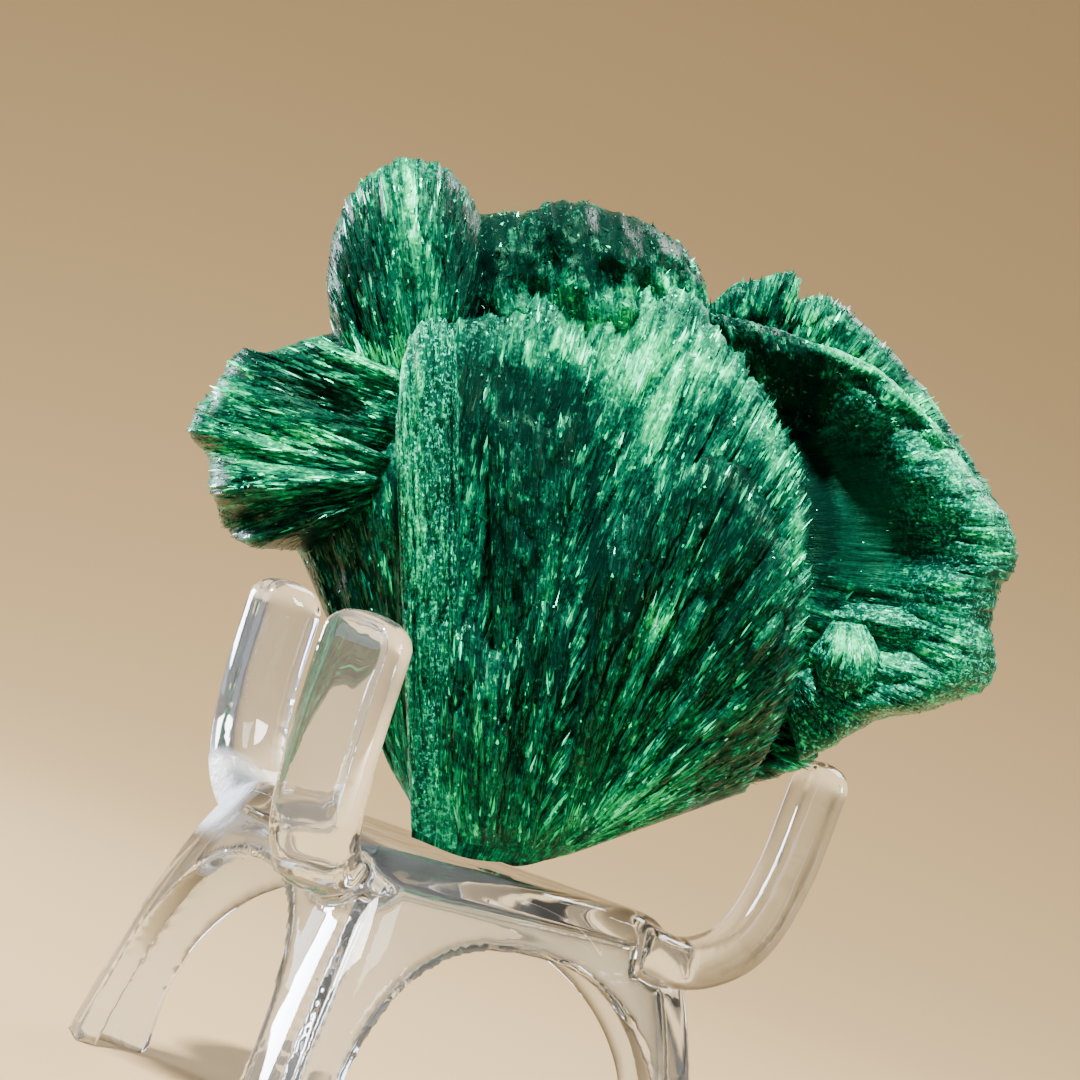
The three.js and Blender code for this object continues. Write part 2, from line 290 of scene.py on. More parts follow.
def new_piece(name: str, vertices: Points, faces: Points, smooth: bool) -> bpy.types.Object:
    """Makes an object from arrays.

    Args:
        name: The piece's name.
        vertices: n by 3, in millimetres in the model's frame.
        faces: m by 3 or m by 4 whole numbers.
        smooth: Whether its faces are shaded smoothly.

    Returns:
        The linked object, at the origin.
    """
    mesh = bpy.data.meshes.new(name)
    count, corners = faces.shape
    mesh.vertices.add(len(vertices))
    mesh.vertices.foreach_set("co", (vertices * MM).astype(np.float32).ravel())
    mesh.loops.add(count * corners)
    mesh.loops.foreach_set("vertex_index", faces.astype(np.int32).ravel())
    mesh.polygons.add(count)
    mesh.polygons.foreach_set("loop_start", np.arange(0, count * corners, corners, dtype=np.int32))
    mesh.polygons.foreach_set("use_smooth", np.full(count, smooth))
    mesh.update(calc_edges=True)
    piece = bpy.data.objects.new(name, mesh)
    bpy.context.scene.collection.objects.link(piece)
    return piece


def set_attribute(piece: bpy.types.Object, name: str, values: Points) -> None:
    """Stores one number for each vertex under a name that a material can read."""
    attribute = piece.data.attributes.new(name, "FLOAT", "POINT")
    attribute.data.foreach_set("value", values.astype(np.float32).ravel())


def set_uv(piece: bpy.types.Object, name: str, values: Points) -> None:
    """Stores a UV pair for each vertex on the corners that use it.

    Args:
        piece: The piece.
        name: The map's name.
        values: n by 2, one pair for each vertex.
    """
    layer = piece.data.uv_layers.new(name=name)
    corners = np.empty(len(piece.data.loops), dtype=np.int32)
    piece.data.loops.foreach_get("vertex_index", corners)
    layer.data.foreach_set("uv", values[corners].astype(np.float32).ravel())


@dataclass(frozen=True)
class Spray:
    """One fan of fibres: a closed pillow between its root line and its tip line, in the stone's frame, in mm.

    front and back are its bulges towards and away from the viewer, and rise is where along its fibres they
    are full. It has so many bundles across and steps along, which stand proud by relief. dish is how deep its
    face is hollowed, ragged how unequal its fibres' lengths are, rim how pale its edge is, and fineness how
    fine its grid is.
    """

    root: tuple[tuple[float, float, float], ...]
    tip: tuple[tuple[float, float, float], ...]
    front: float
    back: float
    bundles: int
    steps: int
    seed: int
    relief: float = 0.4
    rise: float = 0.6
    dish: float = 0.0
    ragged: float = 0.01
    habit: Habit = Habit.SILKY
    fineness: float = 1.0
    rim: float = 0.35

    def swell(self, t: Points) -> Points:
        """How far the pillow has swollen: a quarter sine up to rise, then the root of one less a cube.

        Args:
            t: Places along the fibres, 0..1.

        Returns:
            Shares of the bulge.
        """
        heel = np.minimum(1, t / 0.08)
        rising = heel * (0.35 + 0.65 * np.sin(np.minimum(t / self.rise, 1) * math.pi / 2))
        fall = np.clip((t - self.rise) / (1 - self.rise), 0, 1)
        return np.where(t < self.rise, rising, np.sqrt(1 - fall**3))

    def tip_length(self) -> float:
        """The length of the tip line, in millimetres."""
        line = curve_points(np.array(self.tip), np.linspace(0, 1, 80))
        return float(np.linalg.norm(np.diff(line, axis=0), axis=1).sum())

    def fibre_length(self) -> float:
        """The mean length of the fibres.

        Returns:
            Millimetres.
        """
        share = np.linspace(0, 1, 20)
        fibres = curve_points(np.array(self.tip), share) - curve_points(np.array(self.root), share)
        return float(np.linalg.norm(fibres, axis=1).mean())

    def bundle_relief(self, s: Points, t: Points) -> Points:
        """How proud each coarse bundle stands: scatter at whole bundles and steps, straight lines between.

        Args:
            s: Places across the fibres.
            t: Places along them.

        Returns:
            Millimetres.
        """
        i, j = s * self.bundles, t * self.steps
        i0, j0 = np.floor(i), np.floor(j)
        fi, fj = i - i0, j - j0
        wide = scatter(i0, 0, self.seed) * (1 - fi) + scatter(i0 + 1, 0, self.seed) * fi
        seed = self.seed + 3
        low = scatter(i0, j0, seed) * (1 - fi) + scatter(i0 + 1, j0, seed) * fi
        high = scatter(i0, j0 + 1, seed) * (1 - fi) + scatter(i0 + 1, j0 + 1, seed) * fi
        return self.relief * (wide + 0.5 * (low * (1 - fj) + high * fj))

    def fibre_relief(self, a: Points, b: Points, t: Points) -> Points:
        """Fine relief in millimetres, from the distances a across and b along the fibres.

        Silky fibres are value noise stretched along b, in three sizes, with four shallow steps where a layer
        of them has broken off along an uneven line. A crust is lumps of one size both ways, in three sizes.

        Args:
            a: Distances across the fibres.
            b: Distances along them.
            t: Places along them, 0..1.

        Returns:
            Millimetres.
        """
        seed = self.seed
        if self.habit is Habit.CRUST:
            lumps = 0.55 * value_noise(a / 1.3, b / 1.2, seed + 0.1)
            lumps += 0.35 * value_noise(a / 0.6, b / 0.55, seed + 0.2)
            return lumps + 0.2 * value_noise(a / 0.28, b / 0.3, seed + 0.3)
        blades = 0.26 * value_noise(a / 1.6, b / 4.5, seed + 0.1)
        blades += 0.20 * value_noise(a / 0.6, b / 1.3, seed + 0.2)
        blades += 0.09 * value_noise(a / 0.32, b / 0.7, seed + 0.3)
        broken = np.zeros_like(a)
        for k, where in enumerate((0.34, 0.55, 0.74, 0.88)):
            layer = b * 0 + k
            edge = where + 0.13 * value_noise(a / 0.9, layer, seed + 0.5)
            edge += 0.06 * value_noise(a / 0.35, layer, seed + 0.6)
            broken -= 0.14 * np.clip((t - edge) / 0.012, 0, 1)
        depth = 0.9 if self.habit is Habit.SILKY else 0.7
        fine = 0.05 * value_noise(a / 0.3, b / 0.4, seed + 0.8) if self.habit is Habit.FROSTED else 0.0
        return depth * blades - 0.42 * self.cracks(a, b) + broken + 0.34 + fine

    def cracks(self, a: Points, b: Points) -> Points:
        """How deep in a crack between bundles, 0 to 1: a bell curve about the zero lines of long thin noise.

        Args:
            a: Distances across the fibres, in millimetres.
            b: Distances along them.

        Returns:
            The deeper of the wide cracks and the fine ones.
        """
        wide = np.exp(-((value_noise(a / 1.9, b / 6, self.seed + 0.7) / 0.07) ** 2))
        fine = np.exp(-((value_noise(a / 0.9, b / 2.4, self.seed + 0.9) / 0.10) ** 2))
        return np.maximum(wide, 0.6 * fine)

    def calm(self, points: Points) -> Points:
        """How smooth the spray is at each point, 0 to 1: a dished spray has no loose fibres in its hollow."""
        return np.clip(1.5 * HOLLOW.weight(points), 0, 1) if self.dish else points[..., 0] * 0

    def surface(self, side: Side, s: Points, t: Points) -> Points:
        """The pillow's face: straight fibres from root to tip, bulged by the swell and round at the sides.

        Args:
            side: Which face.
            s: Places across the fibres, 0..1, any shape.
            t: Places along them, 0..1, the same shape.

        Returns:
            Points in the stone's frame, with a last axis of three.
        """
        shape = s.shape
        a, b = s * self.tip_length(), t * self.fibre_length()
        roots = curve_points(np.array(self.root), s.ravel()).reshape(*shape, 3)
        tips = curve_points(np.array(self.tip), s.ravel()).reshape(*shape, 3)
        index = np.floor(s * self.bundles)
        part = s * self.bundles - index
        uneven = scatter(index, 9, self.seed) * (1 - part) + scatter(index + 1, 9, self.seed) * part
        torn = 0.0096 * value_noise(a / 0.8, a * 0, self.seed + 1.1)
        torn += 0.0084 * value_noise(a / 0.33, a * 0, self.seed + 1.2)
        reach = 1 + (self.ragged * uneven + torn) * np.clip((t - 0.3) / 0.4, 0, 1)
        points = roots + (tips - roots) * (t * reach)[..., None]
        across = (1 - np.abs(2 * s - 1) ** 3) ** (1 / 3)
        bulge = self.front if side is Side.FRONT else self.back
        hollow = self.dish * np.sin(math.pi * np.minimum(1, t / 0.8)) ** 2 if side is Side.FRONT else 0.0
        rough = 1 - 0.85 * self.calm(points)
        grown = bulge + self.bundle_relief(s, t) * rough - hollow
        fine = self.fibre_relief(a, b, t) * np.clip(t * 3, 0.15, 1)
        points[..., 2] += side.value * across * self.swell(t) * (grown + fine * rough)
        return points


SPRAYS: dict[str, Spray] = {
    "core": Spray(
        root=((-10.5, -20.5, -4), (-5.4, -24.2, -5), (5, -19.6, -5)),
        tip=((-17, -4, -6), (-17, 6, -6), (-11, 14, -6), (-2, 16.5, -6), (7, 14, -6), (17, 7, -6),
             (21, -3, -6), (15, -13, -5)),
        front=8, back=8, bundles=14, steps=5, seed=1, habit=Habit.PLAIN, fineness=0.45,
    ),
    "mainFan": Spray(
        root=((-12.4, -21.4, 5), (-8.6, -22.9, 4), (-4.6, -23.2, 3), (-2.2, -22.8, 2.5)),
        tip=((-12.2, 11, 7), (-6.7, 13.4, 3), (0, 14.6, 1.4), (6.2, 14.2, 2.2), (9.6, 9.4, 5.4),
             (11.8, 5.4, 6.8), (13.2, 2, 7.6), (13.2, -6, 7.6), (12.4, -12, 5.6), (9.6, -18.6, 2.6)),
        front=3.2, back=6, bundles=30, steps=8, relief=0.42, rise=0.55, seed=2,
    ),
    "spine": Spray(
        root=((-12.4, -20.8, 5.4), (-9.4, -22.4, 5)),
        tip=((-13.3, 4.6, 9), (-12.7, 10, 9.4), (-11.2, 11.8, 9.4), (-9.6, 11, 9), (-9.2, 6, 8.6)),
        front=2.4, back=4, bundles=8, steps=7, relief=0.3, rise=0.7, seed=5, habit=Habit.FROSTED,
    ),
    "fanTier": Spray(
        root=((-2.8, -22, 4.6), (-1.4, -22, 4.2)),
        tip=((0.6, -2, 8.4), (1.7, -0.3, 8.7), (3.8, 1.6, 8.9), (6.5, 3.2, 8.9), (9.3, 2.4, 8.8),
             (11.6, -1, 8.6), (12.4, -5, 8.4), (12, -11, 7), (10.2, -16, 4.6)),
        front=3, back=3, bundles=18, steps=6, relief=0.42, rise=0.7, seed=7, rim=0,
    ),
    "fanFoot": Spray(
        root=((-10.6, -21.5, 4.8), (-4.4, -22.6, 4.4)),
        tip=((-11.2, -11, 7.6), (-8.9, -7.4, 8), (-6.2, -9.4, 7.8), (-3.8, -5.0, 7.8), (-1.8, -9.2, 7)),
        front=1.8, back=3, bundles=14, steps=5, relief=0.35, rise=0.6, seed=8, habit=Habit.PLAIN, rim=0,
    ),
    "blockLeft": Spray(
        root=((-6.8, -16, 6.4), (-4.2, -16.6, 6.4)),
        tip=((-7.4, 5.2, 7.4), (-5.6, 6.4, 7.4), (-3.6, 5.6, 7.3), (-1.4, 6.2, 7)),
        front=1.7, back=3, bundles=7, steps=6, relief=0.5, rise=0.7, seed=67, rim=0,
    ),
    "blockMid": Spray(
        root=((-2.2, -17, 7), (-1.0, -17.4, 7)),
        tip=((0.1, -2.6, 9.2), (1.2, -2.0, 9.4), (2.4, -2.6, 9.5), (3.7, -3.2, 9.5)),
        front=2.1, back=3, bundles=6, steps=5, relief=0.5, rise=0.75, seed=71, rim=0,
    ),
    "blockRight": Spray(
        root=((1.6, -17, 6), (3.6, -17.4, 5.6)),
        tip=((9.2, -3.0, 9), (10.6, -4.2, 9), (11.6, -6.4, 8.6), (12, -9, 8)),
        front=2.4, back=3, bundles=7, steps=5, relief=0.5, rise=0.75, seed=73, rim=0,
    ),
    "tongue": Spray(
        root=((-14.5, 5, -1), (-12, 5.5, 0), (-9.6, 6, 0)),
        tip=((-17.9, 11.2, -1), (-18.2, 15.5, -1), (-17.6, 19.4, -1), (-16, 21.9, -1), (-13.4, 23.4, -1),
             (-10.3, 23, -1), (-8.4, 20.7, -1.5), (-7.2, 17, -2), (-6.6, 12, -2)),
        front=4.6, back=6, bundles=10, steps=6, relief=0.7, rise=0.5, seed=11,
    ),
    "crust": Spray(
        root=((-9.6, 6.6, -3.4), (0, 6.6, -3.4), (8.4, 7.0, -3.4)),
        tip=((-10.6, 18.6, -4), (-8.2, 20.1, -4), (-5, 20.2, -4), (-3, 20.9, -4), (0, 20.7, -4),
             (3.4, 19.4, -4), (5.9, 17.7, -4), (7.2, 15.4, -4)),
        front=6.8, back=7, bundles=16, steps=7, relief=0.9, rise=0.5, seed=13, habit=Habit.CRUST, rim=0.1,
    ),
    "leftBrow": Spray(
        root=((-13.8, 3.4, 2), (-13, 7, 3), (-12.6, 10.5, 1)),
        tip=((-26.9, 5, 1), (-26, 7.4, 1), (-24.9, 9.5, 0), (-23.8, 10.7, 0), (-22.2, 10.5, 0),
             (-20, 11.3, -1), (-17.6, 12, -1), (-13.6, 13, -2)),
        front=2.8, back=7, bundles=7, steps=6, relief=1.0, rise=0.7, seed=17,
    ),
    "leftCheek": Spray(
        root=((-14.6, 0.4, 2.6), (-13.6, 3.4, 4)),
        tip=((-19.6, -2.8, -1.5), (-23.2, -2.4, 1.6), (-25, -1.2, -0.6), (-25.7, 1, 2.2), (-26.2, 3.6, 0),
             (-27.2, 5.2, 1.8), (-25.9, 7.8, -0.8), (-23, 7.2, 1.4)),
        front=2.8, back=7, bundles=8, steps=5, relief=1.0, rise=0.65, seed=19,
    ),
    "leftFace": Spray(
        root=((-14, -17.2, 0), (-11.6, -21, 2)),
        tip=((-20.2, -3, -3), (-19.2, 0, -1), (-16.6, 3, 1.6), (-13, 4.6, 3.6)),
        front=2, back=8, bundles=7, steps=5, relief=0.8, rise=0.6, seed=23,
    ),
    "rightBlade": Spray(
        root=((9.6, 5, -1), (12, -3, 0), (10.6, -12, 0)),
        tip=((12.6, 11.6, -1), (17.8, 9.8, -1), (21.8, 6.3, -1), (25.1, 2.5, -1), (27.3, -0.8, -1),
             (28, -3.2, -1), (26.7, -5.6, -1), (26.2, -9.4, -1), (25.7, -11.8, -1), (21.9, -13.4, -1),
             (18.6, -14, -1), (15.8, -15.6, -1)),
        front=5.4, back=7, bundles=22, steps=6, relief=0.45, rise=0.72, dish=4, seed=29, habit=Habit.FROSTED,
    ),
    "rightLip": Spray(
        root=((8.6, 7, 0), (14, 5.4, -0.6), (19.4, 1.2, -0.6)),
        tip=((7.2, 13, 1), (9.4, 12.6, 1.6), (12.6, 11.6, 2.2), (17.8, 9.6, 2.4), (21.8, 6.1, 2),
             (24.6, 2.6, 1.4)),
        front=1.9, back=5, bundles=16, steps=4, relief=0.6, rise=0.8, seed=31, habit=Habit.CRUST,
    ),
    "rightCrest": Spray(
        root=((7, 6, -6), (14, 2, -7)),
        tip=((6.9, 13.4, -4), (9.3, 15.2, -4), (12.5, 16.1, -4), (13.5, 15.6, -4), (13.6, 14.4, -4.4),
             (15.6, 14.5, -4.6), (18.6, 12.1, -5), (21.8, 8.6, -5), (25.1, 4, -5), (27.1, 0.3, -5)),
        front=2.6, back=6, bundles=9, steps=5, relief=0.9, rise=0.7, seed=37,
    ),
    "rightFoot": Spray(
        root=((14, -6, 0), (12, -12, 0)),
        tip=((24, -6.6, 1.6), (26.2, -9.4, 1), (25.7, -11.8, 0.4), (21.9, -13.4, 0), (18.6, -14, 0),
             (15.8, -15.6, 0), (13.4, -16.8, -1)),
        front=3, back=7, bundles=8, steps=5, relief=0.9, rise=0.6, seed=41, habit=Habit.FROSTED,
    ),
    "knob": Spray(
        root=((17.4, -7.4, 2.4), (15.2, -7.4, 2.4)),
        tip=((19, -10.4, 2.8), (17, -12.4, 2.6), (14.8, -11.8, 2.4), (13.9, -9.4, 2.4)),
        front=1.8, back=3, bundles=8, steps=4, relief=0.3, rise=0.5, seed=43, habit=Habit.FROSTED,
    ),
    "heel": Spray(
        root=((6, -11, -5), (-2, -16, -5)),
        tip=((14.6, -15.2, -4), (14.6, -17, -4), (12, -18.1, -4), (8, -19, -4), (3, -21, -3)),
        front=2.4, back=6, bundles=12, steps=4, relief=0.5, rise=0.6, seed=47,
    ),
    "backFan": Spray(
        root=((-7, -15, -8), (5, -15, -8)),
        tip=((-13, -1, -11), (-10, 9, -11), (0, 13, -11), (10, 9, -11), (15, 0, -10)),
        front=2, back=7, bundles=12, steps=4, relief=0.6, rise=0.55, seed=53,
    ),
    "backLeft": Spray(
        root=((-7, -7, -9), (-7, 4, -9)),
        tip=((-16, -9, -11), (-21, -2, -9), (-20, 7, -7), (-14, 14, -8)),
        front=3, back=6.5, bundles=12, steps=4, relief=0.6, rise=0.6, seed=59,
    ),
    "backRight": Spray(
        root=((6, 4, -10), (4, -9, -10)),
        tip=((19, 5, -8), (24, -3, -7), (22, -9, -7), (14, -14, -7)),
        front=2, back=6, bundles=12, steps=4, relief=0.6, rise=0.6, seed=61,
    ),
}


@dataclass(frozen=True)
class Patch:
    """A soft-edged oval on the stone's face that changes its look by an amount, leaning by some degrees."""

    u: float
    w: float
    wide: float
    high: float
    amount: float
    lean: float = 0.0

    def weight(self, points: Points) -> Points:
        """The amount, faded by a bell curve of the distance in widths and heights, along the leaning axes.

        Args:
            points: Points in the stone's frame.

        Returns:
            A number for each.
        """
        angle = math.radians(self.lean)
        du, dw = points[..., 0] - self.u, points[..., 1] - self.w
        x = (du * math.cos(angle) + dw * math.sin(angle)) / self.wide
        y = (dw * math.cos(angle) - du * math.sin(angle)) / self.high
        return self.amount * np.exp(-(x * x + y * y))


# The smooth dished place at the right of the stone, where the fibres have fallen out.
HOLLOW = Patch(16.6, 0.2, 3.4, 5.6, 1.0, 10)

# Where the stone is lighter or darker than its fibres alone make it, mostly painted light and shade: its lit
# band and crests and its shadowed recesses and sides, with some real tone. The fan, the tongue, the left, the
# crust and the right, in this order.
PAINTED_LIGHT_AND_TONE_PATCHES: tuple[Patch, ...] = (
    Patch(0.5, 10.4, 8.5, 2.3, 0.38, -4),
    Patch(-2.5, 13.8, 6.5, 1.4, 0.22, -4),
    Patch(4.0, 8.0, 3.4, 2.6, 0.24, 0),
    Patch(3.7, 4.2, 1.0, 3.6, 0.30, 6),
    Patch(10.4, 5.4, 1.7, 4.6, 0.24, 20),
    Patch(12.6, -1.5, 0.9, 4.0, 0.34, 0),
    Patch(-4.2, 7.0, 4.0, 2.2, -0.34, 0),
    Patch(-0.6, -2.0, 0.5, 6.0, -0.40, 0),
    Patch(-3.6, 0.0, 2.4, 5.0, -0.20, 0),
    Patch(1.8, -5.6, 1.6, 3.8, -0.30, -8),
    Patch(-6.0, -6.0, 1.6, 5.5, -0.20, 0),
    Patch(6.5, -9.0, 2.0, 5.0, -0.20, -35),
    Patch(8.0, -2.0, 2.0, 3.0, -0.16, -20),
    Patch(6.2, 0.8, 3.2, 0.9, -0.22, 12),
    Patch(3.4, -7.4, 1.1, 1.0, 0.46),
    Patch(-1.0, -14.0, 2.0, 4.0, -0.16, 0),
    Patch(1.6, -19.2, 4.6, 1.2, 0.30, 26),
    Patch(-9.4, -20.4, 2.2, 2.2, 0.20),
    Patch(-12.4, 3.0, 0.8, 9.0, 0.26, 2),
    Patch(-8.2, 8.0, 0.7, 5.0, -0.30, 0),
    Patch(-12.8, 19.8, 1.5, 4.2, 0.44, 13),
    Patch(-16.8, 16.0, 1.7, 5.0, -0.28, 14),
    Patch(-9.2, 17.6, 1.7, 5.0, -0.26, 10),
    Patch(-15.5, 9.8, 4.0, 1.2, 0.34, -20),
    Patch(-20.5, 4.2, 5.0, 1.2, 0.40, 12),
    Patch(-24.4, 8.4, 1.2, 2.2, 0.24, 0),
    Patch(-20.5, 8.2, 5.5, 1.1, -0.34, -34),
    Patch(-17.0, -1.0, 4.5, 1.8, -0.18, 20),
    Patch(-17.5, -6.5, 3.0, 6.0, -0.30, 22),
    Patch(-7.5, 14.5, 1.6, 3.0, -0.10, 0),
    Patch(-1.5, 18.6, 6.0, 2.4, -0.46, -8),
    Patch(5.4, 14.4, 4.0, 0.8, 0.40, -12),
    Patch(-6.5, 16.5, 2.0, 2.4, -0.22, 0),
    Patch(14.0, 13.4, 1.6, 2.2, 0.34, 30),
    Patch(18.4, 11.0, 1.2, 2.6, 0.30, 40),
    Patch(11.6, 9.6, 5.0, 1.7, -0.34, -40),
    Patch(18.6, 8.6, 5.0, 0.9, 0.46, -32),
    Patch(23.8, 1.5, 1.2, 5.5, 0.34, 26),
    Patch(13.9, 1.0, 1.2, 6.0, -0.60, 6),
    Patch(17.0, 0.0, 2.6, 6.0, -0.12, 8),
    Patch(21.0, -4.0, 1.6, 4.0, -0.16, 10),
    Patch(16.4, -9.2, 2.0, 1.4, 0.55, 10),
    Patch(22.6, -8.6, 1.6, 2.6, 0.24, 10),
    Patch(13.4, -12.6, 1.4, 2.0, -0.26, 0),
)


@dataclass(frozen=True)
class SilkyMalachite:
    """Malachite grown in fibres, which gives the eye a silk-like surface that runs one way.

    It is near black green in the cracks, which is painted shade, emerald on the fibres and mint where their
    ends are frosted, and its highlights are green, because light goes a little way into the fibres before it
    comes back.
    """

    name: str = "silky_malachite"
    greens: Stops = (
        (0.0, "#001611"), (0.22, "#033d2c"), (0.42, "#006544"),
        (0.62, "#009c5c"), (0.82, "#00cf82"), (1.0, "#10ffb8"),
    )
    frost: str = "#34d8b0"
    gloss: str = "#18c080"
    roughness: float = 0.36
    ior: float = 1.5
    shine: float = 0.16
    streak_depth: float = 0.12 * MM

    def make(self) -> bpy.types.Material:
        """The material: streaks from the fibre map, tone with painted light and shade and frost from the
        mesh, and a silky gloss.

        Returns:
            The material.
        """
        material, tree = new_material(self.name)
        # Bundles 0.9 mm wide and 4.5 mm long, fibres 0.22 by 1.1 mm, hairs 0.11 by 0.4 mm.
        bundles = noise_node(tree, along_fibres(tree, 1.1, 0.22), Scale=1.0, Detail=3.0)
        fibres = noise_node(tree, along_fibres(tree, 4.6, 0.9), Scale=1.0, Detail=4.0, Roughness=0.6)
        hairs = noise_node(tree, along_fibres(tree, 9.0, 2.4), Scale=1.0, Detail=2.0)
        # Bright flecks 0.2 by 0.9 mm, where one fibre catches the light from end to end.
        flecks = noise_node(tree, along_fibres(tree, 4.6, 1.15), Scale=1.0, Detail=1.5)
        fleck = remapped(tree, flecks, From_Min=0.6, From_Max=0.7)
        # Grains of 0.28 mm and crumbs of 0.67 mm, the same in every direction: broken and crushed fibre ends.
        place = add_node(tree, "ShaderNodeTexCoord").outputs["Object"]
        grain = noise_node(tree, place, Scale=3600.0, Detail=3.0, Roughness=0.65)
        lumps = noise_node(tree, place, Scale=1500.0, Detail=2.0)
        crumb = remapped(tree, lumps, From_Min=0.6, From_Max=0.66)
        weights = ((bundles, 0.4), (fibres, 0.7), (hairs, 0.5), (fleck, 0.34), (grain, 0.9), (crumb, 0.3))
        streaks = weighted_sum(tree, -1.3, *weights)
        value = add_node(tree, "ShaderNodeMath", operation="MULTIPLY_ADD")
        parts = (streaks, from_mesh(tree, "streak"), from_mesh(tree, "tone_and_light"))
        for socket, part in zip(value.inputs, parts, strict=True):
            tree.links.new(part, socket)
        green = colour_ramp(tree, value.outputs[0], self.greens)
        # The frosted ends show as specks of the finest grain, as dense as the mesh says.
        speck = remapped(tree, grain, From_Min=0.53, From_Max=0.62, To_Min=0.05)
        cover = add_node(tree, "ShaderNodeMath", operation="MULTIPLY", use_clamp=True)
        tree.links.new(from_mesh(tree, "frost"), cover.inputs[0])
        tree.links.new(speck, cover.inputs[1])
        mix = add_node(tree, "ShaderNodeMix", data_type="RGBA")
        tree.links.new(cover.outputs[0], mix.inputs["Factor"])
        tree.links.new(green, mix.inputs[6])
        mix.inputs[7].default_value = linear_rgba(self.frost)
        relief = weighted_sum(tree, 0.0, (fibres, 0.6), (hairs, 0.4), (grain, 0.35))
        bump = add_node(tree, "ShaderNodeBump", Height=relief, Strength=0.75, Distance=self.streak_depth)
        shader = add_node(tree, "ShaderNodeBsdfPrincipled", Roughness=self.roughness, IOR=self.ior)
        shader.inputs["Specular IOR Level"].default_value = self.shine
        shader.inputs["Specular Tint"].default_value = linear_rgba(self.gloss)
        tree.links.new(mix.outputs[2], shader.inputs["Base Color"])
        tree.links.new(bump.outputs["Normal"], shader.inputs["Normal"])
        add_node(tree, "ShaderNodeOutputMaterial", Surface=shader.outputs["BSDF"])
        return material


@dataclass(frozen=True)
class MalachiteNeedle:
    """Single needle ends of malachite: small and glassy, so that they glint against the duller fibres.

    Each needle is one colour, from deep green to pale mint.
    """

    name: str = "malachite_needles"
    gloss: str = "#50ffc0"
    roughness: float = 0.26
    ior: float = 1.65
    shine: float = 0.3
    greens: Stops = (
        (0.0, "#001c16"), (0.3, "#004230"), (0.5, "#008158"),
        (0.68, "#00cc80"), (0.85, "#0cf4aa"), (1.0, "#78ffdc"),
    )

    def make(self) -> bpy.types.Material:
        """The material, coloured by each needle's own tone.

        Returns:
            The material.
        """
        material, tree = new_material(self.name)
        green = colour_ramp(tree, from_mesh(tree, "tone_and_light"), self.greens)
        shader = add_node(tree, "ShaderNodeBsdfPrincipled", Base_Color=green, Roughness=self.roughness)
        shader.inputs["IOR"].default_value = self.ior
        shader.inputs["Specular IOR Level"].default_value = self.shine
        shader.inputs["Specular Tint"].default_value = linear_rgba(self.gloss)
        add_node(tree, "ShaderNodeOutputMaterial", Surface=shader.outputs["BSDF"])
        return material


@dataclass(frozen=True)
class ClearPolystyrene:
    """Clear moulded polystyrene: it bends what is behind it and draws bright and dark lines along its edges.

    It has a faint blue cast and haze, and it is white and rough where the mesh says it is chipped.
    """

    name: str = "clear_polystyrene"
    tint: str = "#f0f7ff"
    ior: float = 1.59
    roughness: float = 0.03
    clearness: float = 0.98
    torn_roughness: float = 0.6
    torn_clearness: float = 0.15

    def make(self) -> bpy.types.Material:
        """The material: plain transmission with a trace of moulding ripple, and the torn white of the chip.

        Returns:
            The material.
        """
        material, tree = new_material(self.name)
        # Waves 6 mm long from the mould, and on the chip scratches 0.7 mm apart.
        place = add_node(tree, "ShaderNodeTexCoord").outputs["Object"]
        ripple = noise_node(tree, place, Scale=160.0, Detail=2.0)
        scratch = noise_node(tree, place, Scale=1400.0, Detail=2.0)
        chip = from_mesh(tree, "chip")
        rough = remapped(tree, chip, To_Min=self.roughness, To_Max=self.torn_roughness)
        clear = remapped(tree, chip, To_Min=self.clearness, To_Max=self.torn_clearness)
        waves = add_node(tree, "ShaderNodeBump", Height=ripple, Strength=0.25, Distance=0.2 * MM)
        torn = add_node(tree, "ShaderNodeBump", Height=scratch, Strength=chip, Distance=0.3 * MM)
        tree.links.new(waves.outputs["Normal"], torn.inputs["Normal"])
        shader = add_node(tree, "ShaderNodeBsdfPrincipled", Base_Color=linear_rgba(self.tint), IOR=self.ior)
        tree.links.new(clear, shader.inputs["Transmission Weight"])
        tree.links.new(rough, shader.inputs["Roughness"])
        tree.links.new(torn.outputs["Normal"], shader.inputs["Normal"])
        add_node(tree, "ShaderNodeOutputMaterial", Surface=shader.outputs["BSDF"])
        return material


